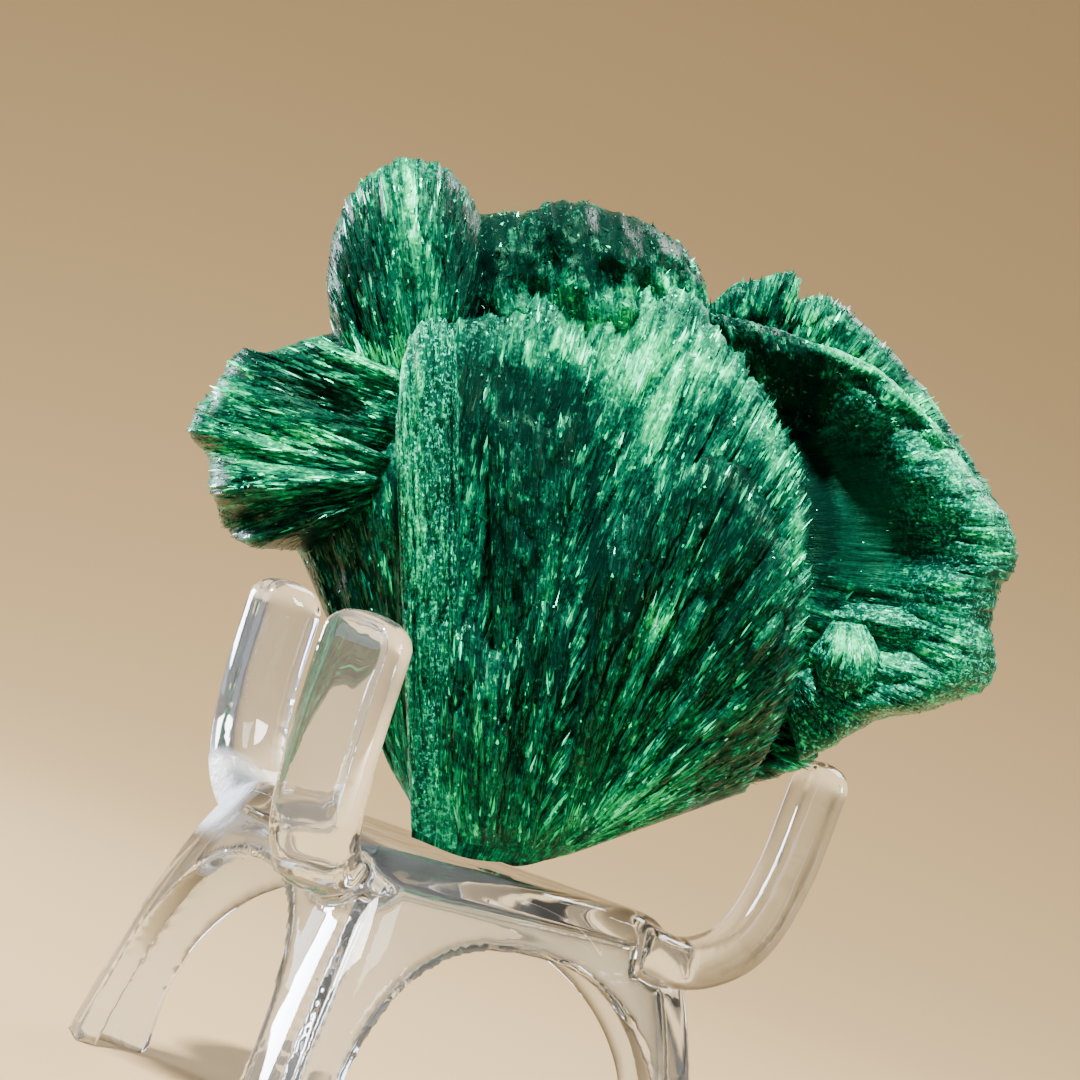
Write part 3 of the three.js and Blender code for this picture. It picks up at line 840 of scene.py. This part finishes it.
@dataclass
class Stone:
    """The whole specimen: the skins of its sprays, and the needle ends that lie on them, in millimetres."""

    across_step: float = 0.2
    along_step: float = 0.42
    needle_batches: int = 3
    needles_per_batch: int = 13000
    needles_seed: int = 20
    needle_width: tuple[float, float] = (0.05, 0.12)
    shortest_needle: float = 0.25
    skin_thickness: float = 0.7
    face: float = 70.0
    cell: float = 0.5
    skins: list[bpy.types.Object] = field(default_factory=list)
    needles: list[bpy.types.Object] = field(default_factory=list)

    def grid(self, spray: Spray, side: Side) -> tuple[Points, Points, Points]:
        """A spray's face on a grid.

        Args:
            spray: The spray.
            side: Which face.

        Returns:
            The places across and along the fibres, and the points, each on the grid.
        """
        columns = max(24, int(spray.tip_length() / self.across_step * spray.fineness))
        rows = max(12, int(spray.fibre_length() / self.along_step * spray.fineness))
        s, t = np.meshgrid(np.linspace(0, 1, columns + 1), np.linspace(0, 1, rows + 1), indexing="ij")
        return s, t, spray.surface(side, s, t)

    def outer_depth(self) -> tuple[Points, Points]:
        """The stone's outermost depth towards and away from the viewer, in square cells across its face.

        Returns:
            Two arrays over cells, the highest and the lowest depth.
        """
        size = int(self.face / self.cell)
        high = np.full((size, size), -99.0)
        low = np.full((size, size), 99.0)
        for spray in SPRAYS.values():
            for side in Side:
                points = self.grid(spray, side)[2].reshape(-1, 3)
                i, j = self.cells(points)
                np.maximum.at(high, (i, j), points[:, 2])
                np.minimum.at(low, (i, j), points[:, 2])
        return high, low

    def cells(self, points: Points) -> tuple[Points, Points]:
        """The cell that each point lies in, across and up the stone's face."""
        cells = ((points[:, :2] + self.face / 2) / self.cell).astype(int)
        return tuple(np.clip(cells, 0, int(self.face / self.cell) - 1).T)

    @staticmethod
    def painted_light_and_tone(points: Points) -> Points:
        """The painted light and shade at each point, with some real tone: the sum of the soft patches, faded
        towards its back.
        """
        near = np.clip((points[..., 2] + 6) / 5, 0, 1)
        return sum(patch.weight(points) for patch in PAINTED_LIGHT_AND_TONE_PATCHES) * near

    def tone_and_light(self, spray: Spray, s: Points, t: Points, points: Points) -> Points:
        """The green's place between dark and pale: lighter at the tips and on proud fibres, with painted
        shade in the cracks and the patches' painted light and shade.

        Args:
            spray: The spray.
            s: Places across the fibres.
            t: Places along them.
            points: The surface there.

        Returns:
            Numbers of about 0 to 1.
        """
        a, b = s * spray.tip_length(), t * spray.fibre_length()
        proud = spray.fibre_relief(a, b, t) - 0.2
        rough = 1 - 0.85 * spray.calm(points)
        # Painted shade: darker in the cracks between bundles, where shade falls.
        painted_crack_shade = 0.0 if spray.habit is Habit.CRUST else spray.cracks(a, b) * rough
        base = 0.16 if spray.habit is Habit.CRUST else 0.225
        tips = 0.3 * spray.rim * np.clip((t - 0.82) / 0.18, 0, 1) ** 1.5
        mottle = 0.10 * value_noise(a / 2.6, b / 3.5, spray.seed + 2.2)
        mottle += 0.13 * value_noise(a / 0.8, b / 1.2, spray.seed + 2.4)
        crumbs = np.clip(value_noise(a / 0.6, b / 0.8, spray.seed + 2.6) - 0.5, 0, 1)
        # Real tone and frost, with painted shade in the cracks and the patches' painted light and shade.
        return base + tips + (0.3 * proud + mottle + crumbs) * rough - 0.16 * painted_crack_shade + self.painted_light_and_tone(points)

    def frost(self, spray: Spray, s: Points, t: Points, points: Points) -> Points:
        """How frosted the fibre ends are: on a frosted spray's edges and face, and along every spray's rim.

        Args:
            spray: The spray.
            s: Places across the fibres.
            t: Places along them.
            points: The surface there.

        Returns:
            Numbers in 0..1.
        """
        a, b = s * spray.tip_length(), t * spray.fibre_length()
        rim = np.clip((t - 0.9) / 0.1, 0, 1) * spray.rim
        face = 0.0
        if spray.habit is Habit.FROSTED:
            face = np.clip((t - 0.45) / 0.4, 0, 1) * 0.75 if spray.dish else 0.55 + 0.25 * t
        cloud = 0.5 + 0.5 * value_noise(a / 1.6, b / 1.9, spray.seed + 3.3)
        return np.clip((rim + face) * (0.35 + 0.9 * cloud) * (1 - spray.calm(points)), 0, 1)

    def build_skins(self, groups: dict[str, tuple[str, ...]], material: bpy.types.Material) -> None:
        """Makes the sprays' closed skins, some sprays to a piece.

        Both faces of a spray share one grid. The back is the same grid turned over, so the rims meet.
        The streaks fade in the hollow and by half at the fibre ends.

        Args:
            groups: The piece's name and the sprays in it.
            material: Their finish.
        """
        for name, members in groups.items():
            vertices, faces, tones_and_light, frosts, streaks, fibres = [], [], [], [], [], []
            total = 0
            for member in members:
                spray = SPRAYS[member]
                for side in Side:
                    s, t, points = self.grid(spray, side)
                    columns, rows = s.shape
                    index = np.arange(columns * rows).reshape(columns, rows) + total
                    corners = [index[:-1, :-1], index[1:, :-1], index[1:, 1:], index[:-1, 1:]]
                    quads = np.stack(corners, axis=-1).reshape(-1, 4)
                    faces.append(quads if side is Side.FRONT else quads[:, ::-1])
                    vertices.append(points.reshape(-1, 3))
                    tones_and_light.append(self.tone_and_light(spray, s, t, points).ravel())
                    frosts.append(self.frost(spray, s, t, points).ravel())
                    ends = 1 - 0.5 * np.clip((t - 0.86) / 0.14, 0, 1)
                    streaks.append(((1 - 0.75 * spray.calm(points)) * ends).ravel())
                    # Each spray has its own part of the pattern, so that no two are alike.
                    across = s * spray.tip_length() + spray.seed * 17.0
                    fibres.append(np.stack([across, t * spray.fibre_length()], axis=-1).reshape(-1, 2))
                    total += columns * rows
            piece = new_piece(name, above_deck(np.concatenate(vertices)), np.concatenate(faces), smooth=True)
            # This tone holds painted light and shade as well as the stone's real tone.
            set_attribute(piece, "tone_and_light", np.concatenate(tones_and_light))
            set_attribute(piece, "frost", np.concatenate(frosts))
            set_attribute(piece, "streak", np.concatenate(streaks))
            set_uv(piece, "fibre", np.concatenate(fibres))
            piece.data.materials.append(material)
            self.skins.append(piece)

    def build_needles(self, material: bpy.types.Material) -> None:
        """Lays needle ends on the outermost skin, along its fibres, each a slim three-sided spindle.

        A needle starts under the skin and leans out of it by a few degrees, or any way on a crust. Its middle
        is a triangle at a third of its length, and both ends are points.

        Args:
            material: Their finish.
        """
        high, low = self.outer_depth()
        rng = np.random.default_rng(self.needles_seed)
        areas = {name: spray.tip_length() * spray.fibre_length() for name, spray in SPRAYS.items()}
        # How many places are tried for each needle that is kept: others hide most of a spray's face.
        tries = {Side.FRONT: 2.6, Side.BACK: 1.1}
        pattern = np.array([[0, 2, 1], [0, 3, 2], [0, 1, 3], [4, 1, 2], [4, 2, 3], [4, 3, 1]])
        total = np.array(list(areas.values())).sum()
        for batch in range(self.needle_batches):
            parts, tones_and_light = [], []
            for name, spray in SPRAYS.items():
                for side in Side:
                    count = int(self.needles_per_batch * areas[name] / total * tries[side])
                    part, tone_and_light = self._needles_on(spray, side, count, rng, high, low)
                    parts.append(part)
                    tones_and_light.append(tone_and_light)
            spindles, tone_and_light = np.concatenate(parts), np.concatenate(tones_and_light)
            order = rng.permutation(len(spindles))[: self.needles_per_batch]
            faces = (np.arange(len(order))[:, None, None] * 5 + pattern[None]).reshape(-1, 3)
            place = above_deck(spindles[order].reshape(-1, 3))
            piece = new_piece(f"needle_ends_{batch + 1}", place, faces, smooth=False)
            set_attribute(piece, "tone_and_light", np.repeat(tone_and_light[order], 5))
            piece.data.materials.append(material)
            self.needles.append(piece)

    def _needles_on(
        self, spray: Spray, side: Side, count: int, rng: np.random.Generator, high: Points, low: Points
    ) -> tuple[Points, Points]:
        """Needles on one face of a spray, only where it is the stone's outermost skin.

        Args:
            spray: The spray.
            side: Which face.
            count: How many places are tried.
            rng: Where the random numbers come from.
            high: The outermost depth towards the viewer.
            low: The outermost depth away from the viewer.

        Returns:
            Spindles, n by 5 by 3, in the stone's frame, and a tone with painted light and shade for each.
        """
        s, t = rng.uniform(0.01, 0.99, count), rng.uniform(0.02, 0.995, count) ** 0.8
        here = spray.surface(side, s, t)
        i, j = self.cells(here)
        behind = high[i, j] - here[:, 2] if side is Side.FRONT else here[:, 2] - low[i, j]
        outer = (behind < self.skin_thickness) & (rng.uniform(0, 1, count) > 0.9 * spray.calm(here))
        s, t, here = s[outer], t[outer], here[outer]
        count = len(s)
        forward, normal = self._directions(spray, side, s, t)
        # On a crust they stand up by as much as a radian and lie any way. Elsewhere they follow the fibres.
        crust = spray.habit is Habit.CRUST
        lift = rng.uniform(0.1, 1.0, count) if crust else np.abs(rng.normal(0.0, 0.05, count))
        skew = rng.normal(0, 0.9 if crust else 0.06, count)
        axis = forward * np.cos(lift)[:, None] + normal * np.sin(lift)[:, None]
        axis += np.cross(normal, forward) * skew[:, None]
        axis /= np.linalg.norm(axis, axis=1, keepdims=True)
        length = rng.uniform(0.0, 1.0, count) ** 2 * LONGEST_NEEDLE[spray.habit] + self.shortest_needle
        width = rng.uniform(*self.needle_width, count) * (0.8 if spray.habit is Habit.FROSTED else 1.0)
        flat = np.cross(axis, normal)
        flat /= np.linalg.norm(flat, axis=1, keepdims=True) + 1e-9
        rise = np.cross(flat, axis)
        # It starts a third of its length back under the skin, and is thickest where it comes out.
        start = here - axis * (0.35 * length)[:, None] - normal * 0.02
        middle = start + axis * (0.36 * length)[:, None]
        turn = rng.uniform(0, 2 * math.pi, count)
        ring = []
        for k in range(3):
            wide, deep = np.cos(turn + k * THIRD) * width * 1.25, np.sin(turn + k * THIRD) * width * 0.7
            ring.append(middle + flat * wide[:, None] + rise * deep[:, None])
        spindles = np.stack([start, *ring, start + axis * length[:, None]], axis=1)
        # The needles carry the skin's tone with its painted light and shade.
        tone_and_light = self.tone_and_light(spray, s, t, here) * 1.15 + rng.normal(0.0, 0.13, count)
        # Six needles in a hundred are painted paler, as painted glints.
        painted_glints = rng.uniform(0, 1, count) > 0.94
        return spindles, np.clip(tone_and_light + 0.38 * painted_glints, 0, 1)

    @staticmethod
    def _directions(spray: Spray, side: Side, s: Points, t: Points) -> tuple[Points, Points]:
        """A face's unit directions along its fibres and outwards, from the surface a small step each way.

        Args:
            spray: The spray.
            side: Which face.
            s: Places across the fibres.
            t: Places along them.

        Returns:
            Forward directions and normals.
        """
        step = 0.02
        ahead, behind = np.minimum(t + step, 1), np.maximum(t - step, 0)
        forward = spray.surface(side, s, ahead) - spray.surface(side, s, behind)
        forward /= np.linalg.norm(forward, axis=1, keepdims=True) + 1e-9
        right, left = np.minimum(s + step, 1), np.maximum(s - step, 0)
        sideways = spray.surface(side, right, t) - spray.surface(side, left, t)
        normal = np.cross(sideways, forward) * side.value
        normal /= np.linalg.norm(normal, axis=1, keepdims=True) + 1e-9
        return forward, normal


@dataclass
class Stand:
    """The clear moulded stand, in millimetres about its own middle.

    It is a bell with a three-cornered deck, hollow below. Arches cut through its sides leave three flared
    legs, and three arms curl up from the deck.
    """

    deck_thickness: float = 2.4
    deck_corner: float = 17.4
    foot_corner: float = 29.0
    wall: float = 2.0
    arch_height: float = 17.4
    arch_half_width: float = 17.5
    arm_reach: float = 24.3
    arm_rise: float = 13.7
    arm_width: float = 5.8
    arm_thickness: float = 3.4
    leg_bearing: float = math.radians(20.2)
    arm_bearing: float = math.radians(11)
    chip_place: tuple[float, float, float] = (-19.6, 15.4, 19.8)
    chip_size: tuple[float, float, float] = (4.8, 4.8, 2.6)
    voxel: float = 0.28

    def outline(self, bearing: Points, corner: Points) -> Points:
        """The outline's radius: a straight side's, blended with a circle's just inside the corner.

        Args:
            bearing: Directions from the middle.
            corner: The corners' radius.

        Returns:
            A radius for each direction.
        """
        turned = bearing - self.leg_bearing
        from_corner = turned - THIRD * np.round(turned / THIRD)
        side = corner * 0.5 / np.cos(math.pi / 3 - np.abs(from_corner))
        return (side**-12 + (corner * 0.98) ** -12) ** (-1 / 12)

    def bell(self, bottom: float, top: float, inset: float) -> tuple[Points, Points]:
        """A closed bell: the outline at each height, its corner radius growing with the root of the drop.

        Args:
            bottom: The lowest height.
            top: The highest height.
            inset: How far its corners are drawn in.

        Returns:
            Vertices and triangles.
        """
        sides, levels = 180, 28
        share = np.linspace(0, 1, levels + 1)
        height = top + (bottom - top) * share**1.7
        drop = np.clip((DECK_TOP - height) / DECK_TOP, 0, None)
        corner = self.deck_corner + (self.foot_corner - self.deck_corner) * np.sqrt(drop) - inset * 1.5
        bearing = np.arange(sides) / sides * 2 * math.pi + self.leg_bearing
        radius = self.outline(bearing[None, :], corner[:, None])
        level = np.repeat(height[:, None], sides, axis=1)
        rings = np.stack([radius * np.cos(bearing), radius * np.sin(bearing), level], axis=-1)
        vertices = np.vstack([rings.reshape(-1, 3), [[0, 0, top], [0, 0, bottom]]])
        return vertices, tube_faces(levels + 1, sides, turned=True)

    def arch(self, bearing: float) -> tuple[Points, Points]:
        """A tunnel of one arch's outline, a flattened half oval, running outwards from the middle.

        Args:
            bearing: The direction it runs in.

        Returns:
            Vertices and triangles.
        """
        angle = np.linspace(0, math.pi, 49)
        x = self.arch_half_width * np.sign(np.cos(angle)) * np.abs(np.cos(angle)) ** 0.8
        z = self.arch_height * np.sin(angle) ** 0.8
        x = np.concatenate([[self.arch_half_width], x, [-self.arch_half_width]])
        # It starts just off the middle, and goes on past the feet and below the floor, so that it cuts clean.
        below, starts, ends = -1.5, 0.5, 34.0
        z = np.concatenate([[below], z, [below]])
        out = np.array([math.cos(bearing), math.sin(bearing), 0])
        side = np.array([-math.sin(bearing), math.cos(bearing), 0])
        profile = x[:, None] * side + z[:, None] * np.array([0, 0, 1])
        rings = [out * starts + profile, out * ends + profile]
        middle = [ring.mean(axis=0) for ring in rings]
        return np.vstack([*rings, middle]), tube_faces(2, len(x), turned=False)

    def arm(self, bearing: float) -> tuple[Points, Points]:
        """An arm: a flat round-cornered section carried along its middle line, with a domed end.

        The line runs out of the deck, bends up and rises. The section is a squared oval, a fifth broader at
        the root, and shrinks over the dome by the root of one less the dome's rise squared.

        Args:
            bearing: The direction it reaches in.

        Returns:
            Vertices and triangles.
        """
        reach = self.arm_reach
        out = np.array([reach - 8.6, reach - 5, reach - 1.8, reach - 0.4, reach])
        up = np.array([-2.1, -2.3, 0.2, 5.2, self.arm_rise - 1.7])
        knots = np.stack([out, out * 0, up], axis=-1)
        share = np.linspace(0, 1, 49)
        line = curve_points(knots, share) + np.array([0, 0, DECK_TOP])
        tangent = np.gradient(line, axis=0)
        tangent /= np.linalg.norm(tangent, axis=1, keepdims=True)
        size = np.ones(len(line))
        dome = np.sin(np.linspace(0, 1, 9)[1:-1] * math.pi / 2)
        line = np.vstack([line, line[-1] + tangent[-1] * (dome * 1.8)[:, None]])
        tangent = np.vstack([tangent, np.repeat(tangent[-1:], len(dome), axis=0)])
        size = np.concatenate([size, np.sqrt(1 - dome**2) ** 0.7])
        across = np.stack([tangent[:, 2], tangent[:, 1] * 0, -tangent[:, 0]], axis=-1)
        angle = np.linspace(0, 2 * math.pi, 41)[:-1]
        wide = np.sign(np.cos(angle)) * np.abs(np.cos(angle)) ** 0.6 * self.arm_width / 2
        deep = np.sign(np.sin(angle)) * np.abs(np.sin(angle)) ** 0.6 * self.arm_thickness / 2
        broad = 1 + 0.2 * (1 - np.minimum(1, np.concatenate([share, np.ones(len(dome))]) / 0.4)) ** 2
        rings = line[:, None, :] + across[:, None, :] * (deep[None, :] * size[:, None])[..., None]
        rings[..., 1] += wide[None, :] * (size * broad)[:, None]
        vertices = np.vstack([rings.reshape(-1, 3), line[0], line[-1] + tangent[-1] * 0.1])
        cosine, sine = math.cos(bearing), math.sin(bearing)
        turn = np.array([[cosine, sine, 0], [-sine, cosine, 0], [0, 0, 1]])
        return vertices @ turn, tube_faces(len(line), len(angle), turned=True)

    def build(self, material: bpy.types.Material) -> bpy.types.Object:
        """Cuts the hollow and the arches out of the bell, adds the arms, and fuses all into one smooth skin.

        Args:
            material: Its finish.

        Returns:
            The stand.
        """
        skirt = new_piece("stand_skirt", *self.bell(0, DECK_TOP, 0), smooth=False)
        hollow = self.bell(-1, DECK_TOP - self.deck_thickness, self.wall)
        cutters = [new_piece("cut_hollow", *hollow, smooth=False)]
        for k in range(3):
            arch = self.arch(self.leg_bearing + (k + 0.5) * THIRD)
            cutters.append(new_piece(f"cut_arch_{k}", *arch, smooth=False))
        for cutter in cutters:
            cut = skirt.modifiers.new(cutter.name, "BOOLEAN")
            cut.operation, cut.object, cut.solver = "DIFFERENCE", cutter, "MANIFOLD"
        vertices, faces = evaluated_triangles(skirt)
        parts, index, total = [vertices / MM], [faces], len(vertices)
        for k in range(3):
            arm_vertices, arm_faces = self.arm(self.arm_bearing + k * THIRD)
            parts.append(arm_vertices)
            index.append(arm_faces + total)
            total += len(arm_vertices)
        for spare in [skirt, *cutters]:
            bpy.data.objects.remove(spare)
        place = np.concatenate(parts) + STAND_CENTRE
        rough = new_piece("stand_rough", place, np.concatenate(index), smooth=False)
        remesh = rough.modifiers.new("fuse", "REMESH")
        remesh.mode, remesh.voxel_size = "VOXEL", self.voxel * MM
        soften = rough.modifiers.new("soften", "SMOOTH")
        soften.factor, soften.iterations = 0.5, 8
        vertices, faces = evaluated_triangles(rough)
        bpy.data.objects.remove(rough)
        stand = new_piece("clear_stand", vertices / MM, faces, smooth=True)
        stand.data.materials.append(material)
        # The chip is full within 0.8 of its size and fades to nothing at 1.3 of it.
        away = np.linalg.norm((vertices / MM - np.array(self.chip_place)) / np.array(self.chip_size), axis=1)
        set_attribute(stand, "chip", np.clip(2.6 - 2 * away, 0, 1))
        return stand


def tube_faces(rings: int, around: int, turned: bool) -> Points:
    """The triangles of a tube of rings, closed at both ends by its last two vertices.

    Args:
        rings: How many rings.
        around: How many vertices each has.
        turned: Whether the triangles' order is turned over.

    Returns:
        Whole numbers, m by 3.
    """
    k, i = np.meshgrid(np.arange(rings - 1), np.arange(around), indexing="ij")
    a, b = k * around + i, k * around + (i + 1) % around
    c, d = a + around, b + around
    walls = [np.stack(corners, axis=-1).reshape(-1, 3) for corners in ((a, b, c), (b, d, c))]
    rim = np.arange(around)
    after = (rim + 1) % around
    last = (rings - 1) * around
    first_cap, last_cap = np.full(around, rings * around), np.full(around, rings * around + 1)
    closed = ((first_cap, after, rim), (last_cap, last + rim, last + after))
    faces = np.concatenate([*walls, *(np.stack(corners, axis=-1) for corners in closed)])
    return faces[:, ::-1] if turned else faces


def evaluated_triangles(piece: bpy.types.Object) -> tuple[Points, Points]:
    """A piece's mesh with its modifiers applied.

    Args:
        piece: The piece.

    Returns:
        Vertices in metres, n by 3, and triangles, m by 3.
    """
    graph = bpy.context.evaluated_depsgraph_get()
    mesh = bpy.data.meshes.new_from_object(piece.evaluated_get(graph))
    mesh.calc_loop_triangles()
    vertices = np.empty(len(mesh.vertices) * 3, dtype=np.float32)
    mesh.vertices.foreach_get("co", vertices)
    faces = np.empty(len(mesh.loop_triangles) * 3, dtype=np.int32)
    mesh.loop_triangles.foreach_get("vertices", faces)
    bpy.data.meshes.remove(mesh)
    return vertices.reshape(-1, 3).astype(float), faces.reshape(-1, 3)


@dataclass(frozen=True)
class PaleGround:
    """Sand-coloured paper: matt and even, so that nothing on it competes with the stone."""

    name: str = "pale_ground"
    colour: str = "#937b54"
    roughness: float = 0.9

    def make(self) -> bpy.types.Material:
        """The material: one colour, matt.

        Returns:
            The material.
        """
        material, tree = new_material(self.name)
        colour = linear_rgba(self.colour)
        shader = add_node(tree, "ShaderNodeBsdfPrincipled", Base_Color=colour, Roughness=self.roughness)
        add_node(tree, "ShaderNodeOutputMaterial", Surface=shader.outputs["BSDF"])
        return material


@dataclass(frozen=True)
class Lamp:
    """One square studio light, by its place and size in metres, its power and its colour."""

    name: str
    place: tuple[float, float, float]
    size: float
    power: float
    colour: str


@dataclass
class Studio:
    """The camera, the ground that sweeps up behind, and the lights.

    The camera looks square at the stone's face from a distance, at a point a little off the stone's middle.
    The ground is flat as far as the first of its sweep's numbers behind the stand, bends up through a quarter
    circle of the second, and goes on up by the third.
    """

    distance: float = 240.0
    lens: float = 120.0
    aim: tuple[float, float] = (-4.0, -2.0)
    sweep: tuple[float, float, float] = (240.0, 700.0, 600.0)
    half_width: float = 1600.0
    front_edge: float = -1500.0
    surrounding: str = "#f2ede2"
    surrounding_strength: float = 0.24
    lamps: tuple[Lamp, ...] = (
        Lamp("key", (-0.12, -0.22, 0.52), 0.05, 21.0, "#fffaf2"),
        Lamp("side", (0.42, -0.10, 0.22), 0.12, 2.2, "#fff8ee"),
        Lamp("fill", (-0.35, -0.45, 0.12), 0.40, 1.5, "#dce8ff"),
        Lamp("edge", (-0.24, 0.12, 0.06), 0.08, 2.0, "#e4efff"),
        Lamp("rear", (0.16, 0.30, 0.40), 0.20, 1.8, "#ffffff"),
    )

    def place_camera(self) -> None:
        """Sets the camera square to the stone's own frame, as far in front of it as distance says."""
        right, up, towards = stone_axes()
        aim = STONE_CENTRE + right * self.aim[0] + up * self.aim[1]
        place = (aim + towards * self.distance) * MM
        data = bpy.data.cameras.new("camera")
        data.lens, data.sensor_width = self.lens, 36.0
        data.clip_start, data.clip_end = 0.005, 20.0
        camera = bpy.data.objects.new("camera", data)
        bpy.context.scene.collection.objects.link(camera)
        camera.matrix_world = Matrix((
            (right[0], up[0], towards[0], place[0]),
            (right[1], up[1], towards[1], place[1]),
            (right[2], up[2], towards[2], place[2]),
            (0, 0, 0, 1),
        ))
        bpy.context.scene.camera = camera

    def build_ground(self, material: bpy.types.Material) -> bpy.types.Object:
        """A sheet that lies flat under the stand and curves up a quarter circle into a wall behind it.

        Args:
            material: Its finish.

        Returns:
            The ground.
        """
        angle = np.linspace(0, math.pi / 2, 24)
        flat, bend, rise = self.sweep
        y = np.concatenate([[self.front_edge], flat + bend * np.sin(angle), [flat + bend]])
        z = np.concatenate([[0.0], bend * (1 - np.cos(angle)), [bend + rise]])
        x = np.array([-self.half_width, self.half_width])
        rows = len(y)
        vertices = np.stack([np.repeat(x, rows), np.tile(y, 2), np.tile(z, 2)], axis=-1)
        k = np.arange(rows - 1)
        faces = np.stack([k, k + rows, k + rows + 1, k + 1], axis=-1)
        ground = new_piece("ground", vertices, faces, smooth=True)
        ground.data.materials.append(material)
        return ground

    def hang_lamps(self) -> None:
        """Adds the square lights, all turned to the stone, and an even pale surrounding."""
        target = Vector(STONE_CENTRE * MM)
        for lamp in self.lamps:
            data = bpy.data.lights.new(lamp.name, "AREA")
            data.size, data.energy = lamp.size, lamp.power
            data.color = linear_rgba(lamp.colour)[:3]
            light = bpy.data.objects.new(lamp.name, data)
            bpy.context.scene.collection.objects.link(light)
            light.location = Vector(lamp.place)
            light.rotation_mode = "QUATERNION"
            light.rotation_quaternion = (target - light.location).to_track_quat("-Z", "Y")
        world = bpy.data.worlds.new("studio")
        world.use_nodes = True
        background = world.node_tree.nodes["Background"]
        background.inputs["Color"].default_value = linear_rgba(self.surrounding)
        background.inputs["Strength"].default_value = self.surrounding_strength
        bpy.context.scene.world = world


# The pieces of the stone's skin, and the sprays in each.
SKIN_GROUPS: dict[str, tuple[str, ...]] = {
    "main_fan": ("mainFan", "fanTier", "fanFoot", "blockLeft", "blockMid", "blockRight", "spine"),
    "upper_growth": ("tongue", "crust", "core"),
    "left_growth": ("leftBrow", "leftCheek", "leftFace"),
    "right_growth": ("rightBlade", "rightLip", "rightCrest", "rightFoot", "knob", "heel"),
    "back_growth": ("backFan", "backLeft", "backRight"),
}


def main() -> None:
    """Builds the stone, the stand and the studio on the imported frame, and reports each piece."""
    logging.basicConfig(level=logging.INFO, format="%(name)s: %(message)s")
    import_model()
    studio = Studio()
    studio.place_camera()
    stone = Stone()
    stone.build_skins(SKIN_GROUPS, SilkyMalachite().make())
    stone.build_needles(MalachiteNeedle().make())
    stand = Stand().build(ClearPolystyrene().make())
    for piece in [*stone.skins, *stone.needles]:
        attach(piece, "root")
        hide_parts("malachite")
        LOG.info("%s: %d vertices, %d faces", piece.name, len(piece.data.vertices), len(piece.data.polygons))
    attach(stand, "root")
    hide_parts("stand")
    LOG.info("%s: %d vertices, %d faces", stand.name, len(stand.data.vertices), len(stand.data.polygons))
    studio.build_ground(PaleGround().make())
    studio.hang_lamps()


if __name__ == "__main__":
    main()
